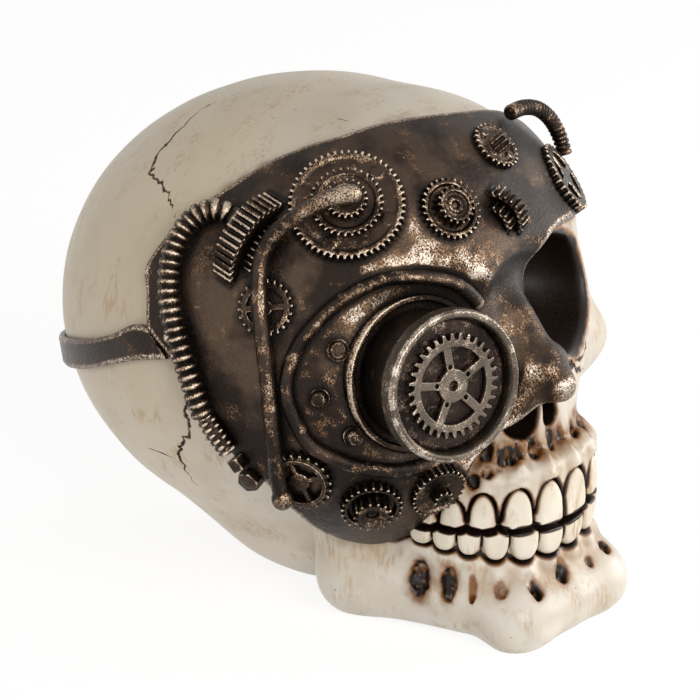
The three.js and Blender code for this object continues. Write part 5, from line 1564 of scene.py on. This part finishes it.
def ribbedPiece(hose):
    line = evenLine(laid(hose["route"], hose["radius"]), 0.8)
    edges = [(index, index + 1) for index in range(len(line) - 1)]
    mesh = bpy.data.meshes.new(hose["name"])
    mesh.from_pydata((line * metre).tolist(), edges, [])
    piece = linkPiece(hose["name"], mesh)
    applyTree(piece, ribbedHose, {
        hoseSockets["Ribs"]: hose["ribs"], hoseSockets["Radius"]: hose["radius"] * metre,
        hoseSockets["Groove"]: hose["groove"] * metre, hoseSockets["Finish"]: castFinish})
    piece.data.shade_smooth()
    finishRelief(piece, hose["node"], span=0.25)
    dullEdges(piece, 0.72)


for hose in hoses:
    ribbedPiece(hose)

# Small dents of hand work, which every cast tube and fastener has
hammered = hills(2.2, 31, 0.12)


def hammer(piece, amount=1.0):
    p = pointsOf(piece)
    moved = p + normalsOf(piece) * (hammered(p) * amount)[:, None]
    piece.data.vertices.foreach_set("co", (moved * metre).astype(np.float32).ravel())
    piece.data.update()
    return piece


pipeLine = laid(pipeRoute, tubeSizes["pipe"])
pipeRadius = knobbed(tubeSizes["pipe"], tubeSizes["pipeLength"], 3.2)
pipe = sweepPiece("pipeCast", evenLine(pipeLine, 0.6), pipeRadius)
ball = turnPiece("pipeBall", [(0, -2.8), (1.9, -2.3), (2.9, -0.7), (2.9, 0.8), (1.9, 2.3), (0, 2.8)], 40, 0.6)
placePiece(ball, frameFrom(pipeLine[-1], eyeAxis))
joinMesh(pipe, ball)
softenPiece(pipe, 0.28)
finishRelief(hammer(pipe), "curved_pipe", span=0.2)
dullEdges(pipe, 0.55)
polishNear(pipe, pipeLine[0], 30, 0.45)

rimLine = evenLine(laid(rimRoute, tubeSizes["rim"]), 0.7)
rim = sweepPiece("socketRimCast", rimLine, domed(tubeSizes["rim"], tubeSizes["rimLength"], 1.8))
finishRelief(hammer(rim, 0.6), "socket_rim", span=0.2)
dullEdges(rim, 0.5)


def lumpy(share, turns):
    rows = np.cos(turns * 5) * 0.5 + 0.5
    beads = math.cos(share * 2 * math.pi * 6.5) * 0.5 + 0.5
    end = min(share, 1 - share) * 12
    return (2.0 + 0.75 * rows * beads + 0.2 * beads) * math.sqrt(max(1 - max(1 - end, 0) ** 2, 0.05))


ferruleLine = evenLine(laid(ferruleRoute, tubeSizes["ferrule"]), 0.2)
ferrule = sweepPiece("hoseFerruleCast", ferruleLine, lumpy, 40)
finishRelief(hammer(ferrule), "hose_ferrule", span=0.2)
print("tubes made")

# Eyepiece: collar, waisted barrel, worn rim and the spoked gear on its lens plate

eyeProfiles = {  # turned outlines in millimetres: radius, then height along the eyepiece's axis
    "collar": [(16.6, -21.8), (20.8, -21.8), (20.8, -18.0), (20.2, -17.0), (18.9, -17.0), (18.4, -17.7),
               (18.4, -19.8), (16.6, -19.8)],
    "barrel": [(0, -21.8), (16.2, -21.8), (16.2, -17.2), (16.7, -14), (17.4, -11), (18.3, -7.4),
               (18.7, -6.3), (18.7, -5.3), (0, -5.3)],
    "bezel": [(17.1, -5.0), (19.1, -5.0), (19.5, -4.5), (19.5, -0.9), (18.9, -0.1), (17.9, -0.1),
              (17.45, -0.45), (17.1, -1.4)],
    "plate": [(0, -4.7), (16.75, -4.7), (16.75, -3.3), (16.0, -3.0), (0, -3.0)]}
collar = turnPiece("eyepieceCollarCast", eyeProfiles["collar"], 144, 0.35, 0.6)
finishRelief(placePiece(collar, eyeFrame), "eyepiece_collar", span=0.12)
barrel = turnPiece("eyepieceBarrelCast", eyeProfiles["barrel"], 144, 0.4, 0.6)
finishRelief(placePiece(barrel, eyeFrame), "eyepiece_barrel", maskFinish, "mask", 0.2)
setShare(barrel, "recess", np.zeros(len(barrel.data.vertices)))
bezel = turnPiece("bezelRingCast", eyeProfiles["bezel"], 160, 0.25, 0.5)
finishRelief(hammer(placePiece(bezel, eyeFrame), 0.5), "bezel_ring", rimFinish, "worn_rim", 0.1)
lensPlate = turnPiece("lensPlateCast", eyeProfiles["plate"], 128, 0.3)
finishRelief(hammer(placePiece(lensPlate, eyeFrame), 0.7), "lens_plate", plateFinish, "dark_plate", 0.12)
pinTurns = np.radians(np.arange(5) * 72)
wheel("lens_gear", eyeFrame @ Matrix.Translation((0, 0, -2.65)) @ turnedBy(98, "Z"), {
    "radius": 13.5, "teeth": 32, "depth": 1.7, "base": 0.0, "top": 1.4, "hook": 0.16, "footShare": 0.33,
    "windows": (5, 4.3, 1.9, 2.3),
    "holes": [(1.3, 24)] + [(0.6, 14, 5.0 * math.cos(t), 5.0 * math.sin(t)) for t in pinTurns]},
    rimFinish, "worn_rim")
print("eyepiece made")


# Studs, the bolt, the hose socket and the strap's rivet

studs = [("upper_stud", 53, 12.6, 2.3, 3.0), ("middle_stud", 56.6, 2.6, 2.0, 4.2),
         ("lower_stud", 50, -5.3, 2.0, 4.2)]  # node, longitude, latitude, radius, height
for node, lon, lat, radius, height in studs:
    stud = turnPiece(castName(node), [
        (0, -radius), (radius * 1.3, -radius), (radius * 1.3, radius * 0.25), (radius * 1.02, radius * 0.5),
        (radius, height - radius * 0.75), (radius * 0.8, height - radius * 0.25),
        (radius * 0.4, height - 0.05), (0, height)], 40, 0.35, 0.4)
    finishRelief(hammer(placePiece(stud, frameOn(lon, lat))), node, span=0.12)
hexagon = [(3.2 * math.cos(t), 3.2 * math.sin(t)) for t in np.radians(np.arange(6) * 60 + 15)]
bolt = flatPiece("hexBoltCast", [hexagon], 4.6, 0.35)
bolt.data.transform(Matrix.Translation((0, 0, -2.4 * metre)))
joinMesh(bolt, turnPiece("boltBoss", [(0, 1.9), (1.7, 1.9), (1.7, 2.35), (1.1, 2.6), (0, 2.6)], 32, 0.25))
softenPiece(bolt, 0.2)
finishRelief(hammer(placePiece(bolt, frameOn(72.8, -18.3))), "hex_bolt", span=0.14)
square = [(1.8 * math.cos(t) * 1.4, 1.8 * math.sin(t) * 1.4) for t in np.radians([45, 135, 225, 315])]
block = flatPiece("hoseSocketCast", [square], 5.4, 0.4)
block.data.transform(Matrix.Translation((0, 0, -2.0 * metre)))
softenPiece(block, 0.2)
finishRelief(hammer(placePiece(block, frameOn(74.6, -13.9, spin=35))), "hose_socket", span=0.14)
rivet = turnPiece("strapRivetCast", [(0, -1.5), (1.7, -1.5), (1.7, 0.4), (1.1, 0.9), (0, 1.0)], 32, 0.3)
finishRelief(placePiece(rivet, frameOn(92.6, 10.4)), "strap_rivet", span=0.1)
print("fasteners made")


# Strap: a flat band from one end of the mask round the back of the head to the other

strapSizes = {"thickness": 1.7, "lift": 0.3, "lip": 0.25, "lipAt": 0.86, "edgeDrop": 0.35, "steps": 420}


def strapPiece():
    edges = strapSide + [[360 - a, b, 360 - c, d] for a, b, c, d in strapSide[-2::-1]]
    steps = strapSizes["steps"]
    lower = smoothLine([edge[:2] for edge in edges], steps)
    upper = smoothLine([edge[2:] for edge in edges], steps)
    inside = [reach(bareBone, *(lower * (1 - v) + upper * v).T) for v in (0, 0.5, 1)]
    inside = np.max(inside, axis=0) + strapSizes["lift"]
    kernel = np.hanning(9) / np.hanning(9).sum()
    padded = np.pad(inside, 4, mode="edge")
    inside = np.convolve(padded, kernel, mode="valid")
    section = []
    for a, b, count in (((0, 0), (1, 0), 9), ((1, 0), (1, 1), 4), ((1, 1), (0, 1), 9), ((0, 1), (0, 0), 4)):
        section += [(a[0] + (b[0] - a[0]) * k / count, a[1] + (b[1] - a[1]) * k / count)
                    for k in range(count)]
    points, faces = [], []
    for index in range(steps):
        for v, t in section:
            corner = abs(v - 0.5) * 2
            away = (corner - strapSizes["lipAt"]) / 0.1
            lip = strapSizes["lip"] * math.exp(-away ** 2) if t > 0.5 else 0.0
            drop = strapSizes["edgeDrop"] * max(corner - 0.9, 0) * 10 * (t > 0.5)
            crown = strapSizes["thickness"] * t - drop + lip
            place = lower[index] * (1 - v) + upper[index] * v
            ray = direction(*place)
            points.append(aim + ray * (inside[index] + crown))
    around = len(section)
    for index in range(steps - 1):
        for corner in range(around):
            a = index * around + corner
            b = index * around + (corner + 1) % around
            faces.append((a, b, b + around, a + around))
    faces.append(tuple(range(around))[::-1])
    faces.append(tuple((steps - 1) * around + corner for corner in range(around)))
    piece = makePiece("strapCast", points, faces)
    turnOutwards(piece.data)
    return piece


strap = strapPiece()
markWear(strap, 4, 0.3)
# Wash and painted contact shade where the strap lies within 1.1 mm of the bone
setShare(strap, "wash", np.clip(1 - bareBone(pointsOf(strap)) / 1.1, 0, 1) * 0.7)
finishPiece(strap, "mask", maskFinish, "head_strap")


def shadeUnderRelief():
    # Black wash and painted contact shade stay on the mask where it meets anything that stands on it
    surfacePoints = []
    for piece in reliefPieces:
        p = pointsOf(piece)
        height = maskSkin(p)
        surfacePoints.append(p[(height > -0.2) & (height < 1.2)])
    tree = nearestOf(np.vstack(surfacePoints)[::2])
    p = pointsOf(maskPiece)
    far = np.array([tree.find(point)[2] for point in p])
    setShare(maskPiece, "wash", np.clip(1.1 - far / 1.6, 0, 1) * 0.85)


shadeUnderRelief()
finishPiece(maskPiece, "mask", maskFinish, "mask_plate")
print("strap made and wash laid")

# Light and camera

studioSizes = {"target": (0, -0.02, 0.06), "worldLight": 0.34, "floorHalf": 6.0, "floorColour": "f2f1ef",
               "floorGlow": 1.15, "floorGlowShare": 0.75}
softboxes = [  # name, place in metres, width and height, watts
    ("highFrontSoftbox", (-0.35, -1.0, 0.55), (0.8, 0.45), 7.0),
    ("rightSoftbox", (0.95, -0.62, 0.22), (0.5, 0.6), 8.5),
    ("leftSoftbox", (-1.0, 0.3, 0.3), (0.5, 0.7), 2.3)]


def lightStudio():
    for name, place, size, watts in softboxes:
        lamp = bpy.data.lights.new(name, "AREA")
        lamp.shape = "RECTANGLE"
        lamp.size, lamp.size_y = size
        lamp.energy = watts
        holder = linkPiece(name, lamp)
        holder.location = Vector(place)
        away = Vector(studioSizes["target"]) - Vector(place)
        holder.rotation_euler = away.to_track_quat("-Z", "Y").to_euler()
    world = bpy.data.worlds.new("paleStudio")
    bpy.context.scene.world = world
    world.use_nodes = True
    tree = world.node_tree
    tree.nodes.clear()
    path = addNode(tree, {}, "ShaderNodeLightPath").node.outputs
    seen = addNode(tree, (path["Is Camera Ray"], path["Is Transmission Ray"]), **larger)
    seen = addNode(tree, (seen, path["Is Glossy Ray"]), **larger)
    level = addNode(tree, {"Value": seen, "To Min": studioSizes["worldLight"], "To Max": 1.0},
                    "ShaderNodeMapRange")
    sky = addNode(tree, {"Color": (1, 1, 1, 1), "Strength": level}, "ShaderNodeBackground")
    addNode(tree, {"Surface": sky}, "ShaderNodeOutputWorld")


def paleFloor():
    mesh = bpy.data.meshes.new("studioFloor")
    half = studioSizes["floorHalf"]
    corners = [(-half, -half, 0), (half, -half, 0), (half, half, 0), (-half, half, 0)]
    mesh.from_pydata(corners, [], [(0, 1, 2, 3)])
    floor = linkPiece("studioFloor", mesh)
    finish = bpy.data.materials.new("whiteSweep")
    finish.use_nodes = True
    tree = finish.node_tree
    tree.nodes.clear()
    path = addNode(tree, {}, "ShaderNodeLightPath").node.outputs
    plain = addNode(tree, {"Color": linear(studioSizes["floorColour"])}, "ShaderNodeBsdfDiffuse")
    glow = addNode(tree, {"Color": (1, 1, 1, 1), "Strength": studioSizes["floorGlow"]}, "ShaderNodeEmission")
    seen = addNode(tree, (path["Is Camera Ray"], path["Is Glossy Ray"]), **larger)
    seen = addNode(tree, (seen, studioSizes["floorGlowShare"]), **product)
    mixed = addNode(tree, (seen, plain, glow), "ShaderNodeMixShader")
    addNode(tree, {"Surface": mixed}, "ShaderNodeOutputMaterial")
    mesh.materials.append(finish)


cameraSizes = {"azimuth": -50.5, "elevation": 20.3, "distance": 0.9, "target": (0.0024, -0.0121, 0.0592),
               "sensor": 36, "lens": 36 * 3315 / 700}


def viewpoint():
    azimuth, elevation = math.radians(cameraSizes["azimuth"]), math.radians(cameraSizes["elevation"])
    back = Vector((math.sin(azimuth) * math.cos(elevation), -math.cos(azimuth) * math.cos(elevation),
                   math.sin(elevation)))
    lens = bpy.data.cameras.new("camera")
    lens.sensor_width = cameraSizes["sensor"]
    lens.lens = cameraSizes["lens"]
    lens.clip_start = 0.05
    holder = linkPiece("camera", lens)
    holder.location = Vector(cameraSizes["target"]) + back * cameraSizes["distance"]
    holder.rotation_euler = back.to_track_quat("Z", "Y").to_euler()
    bpy.context.scene.camera = holder


lightStudio()
paleFloor()
viewpoint()
bpy.context.scene.view_settings.view_transform = "Standard"
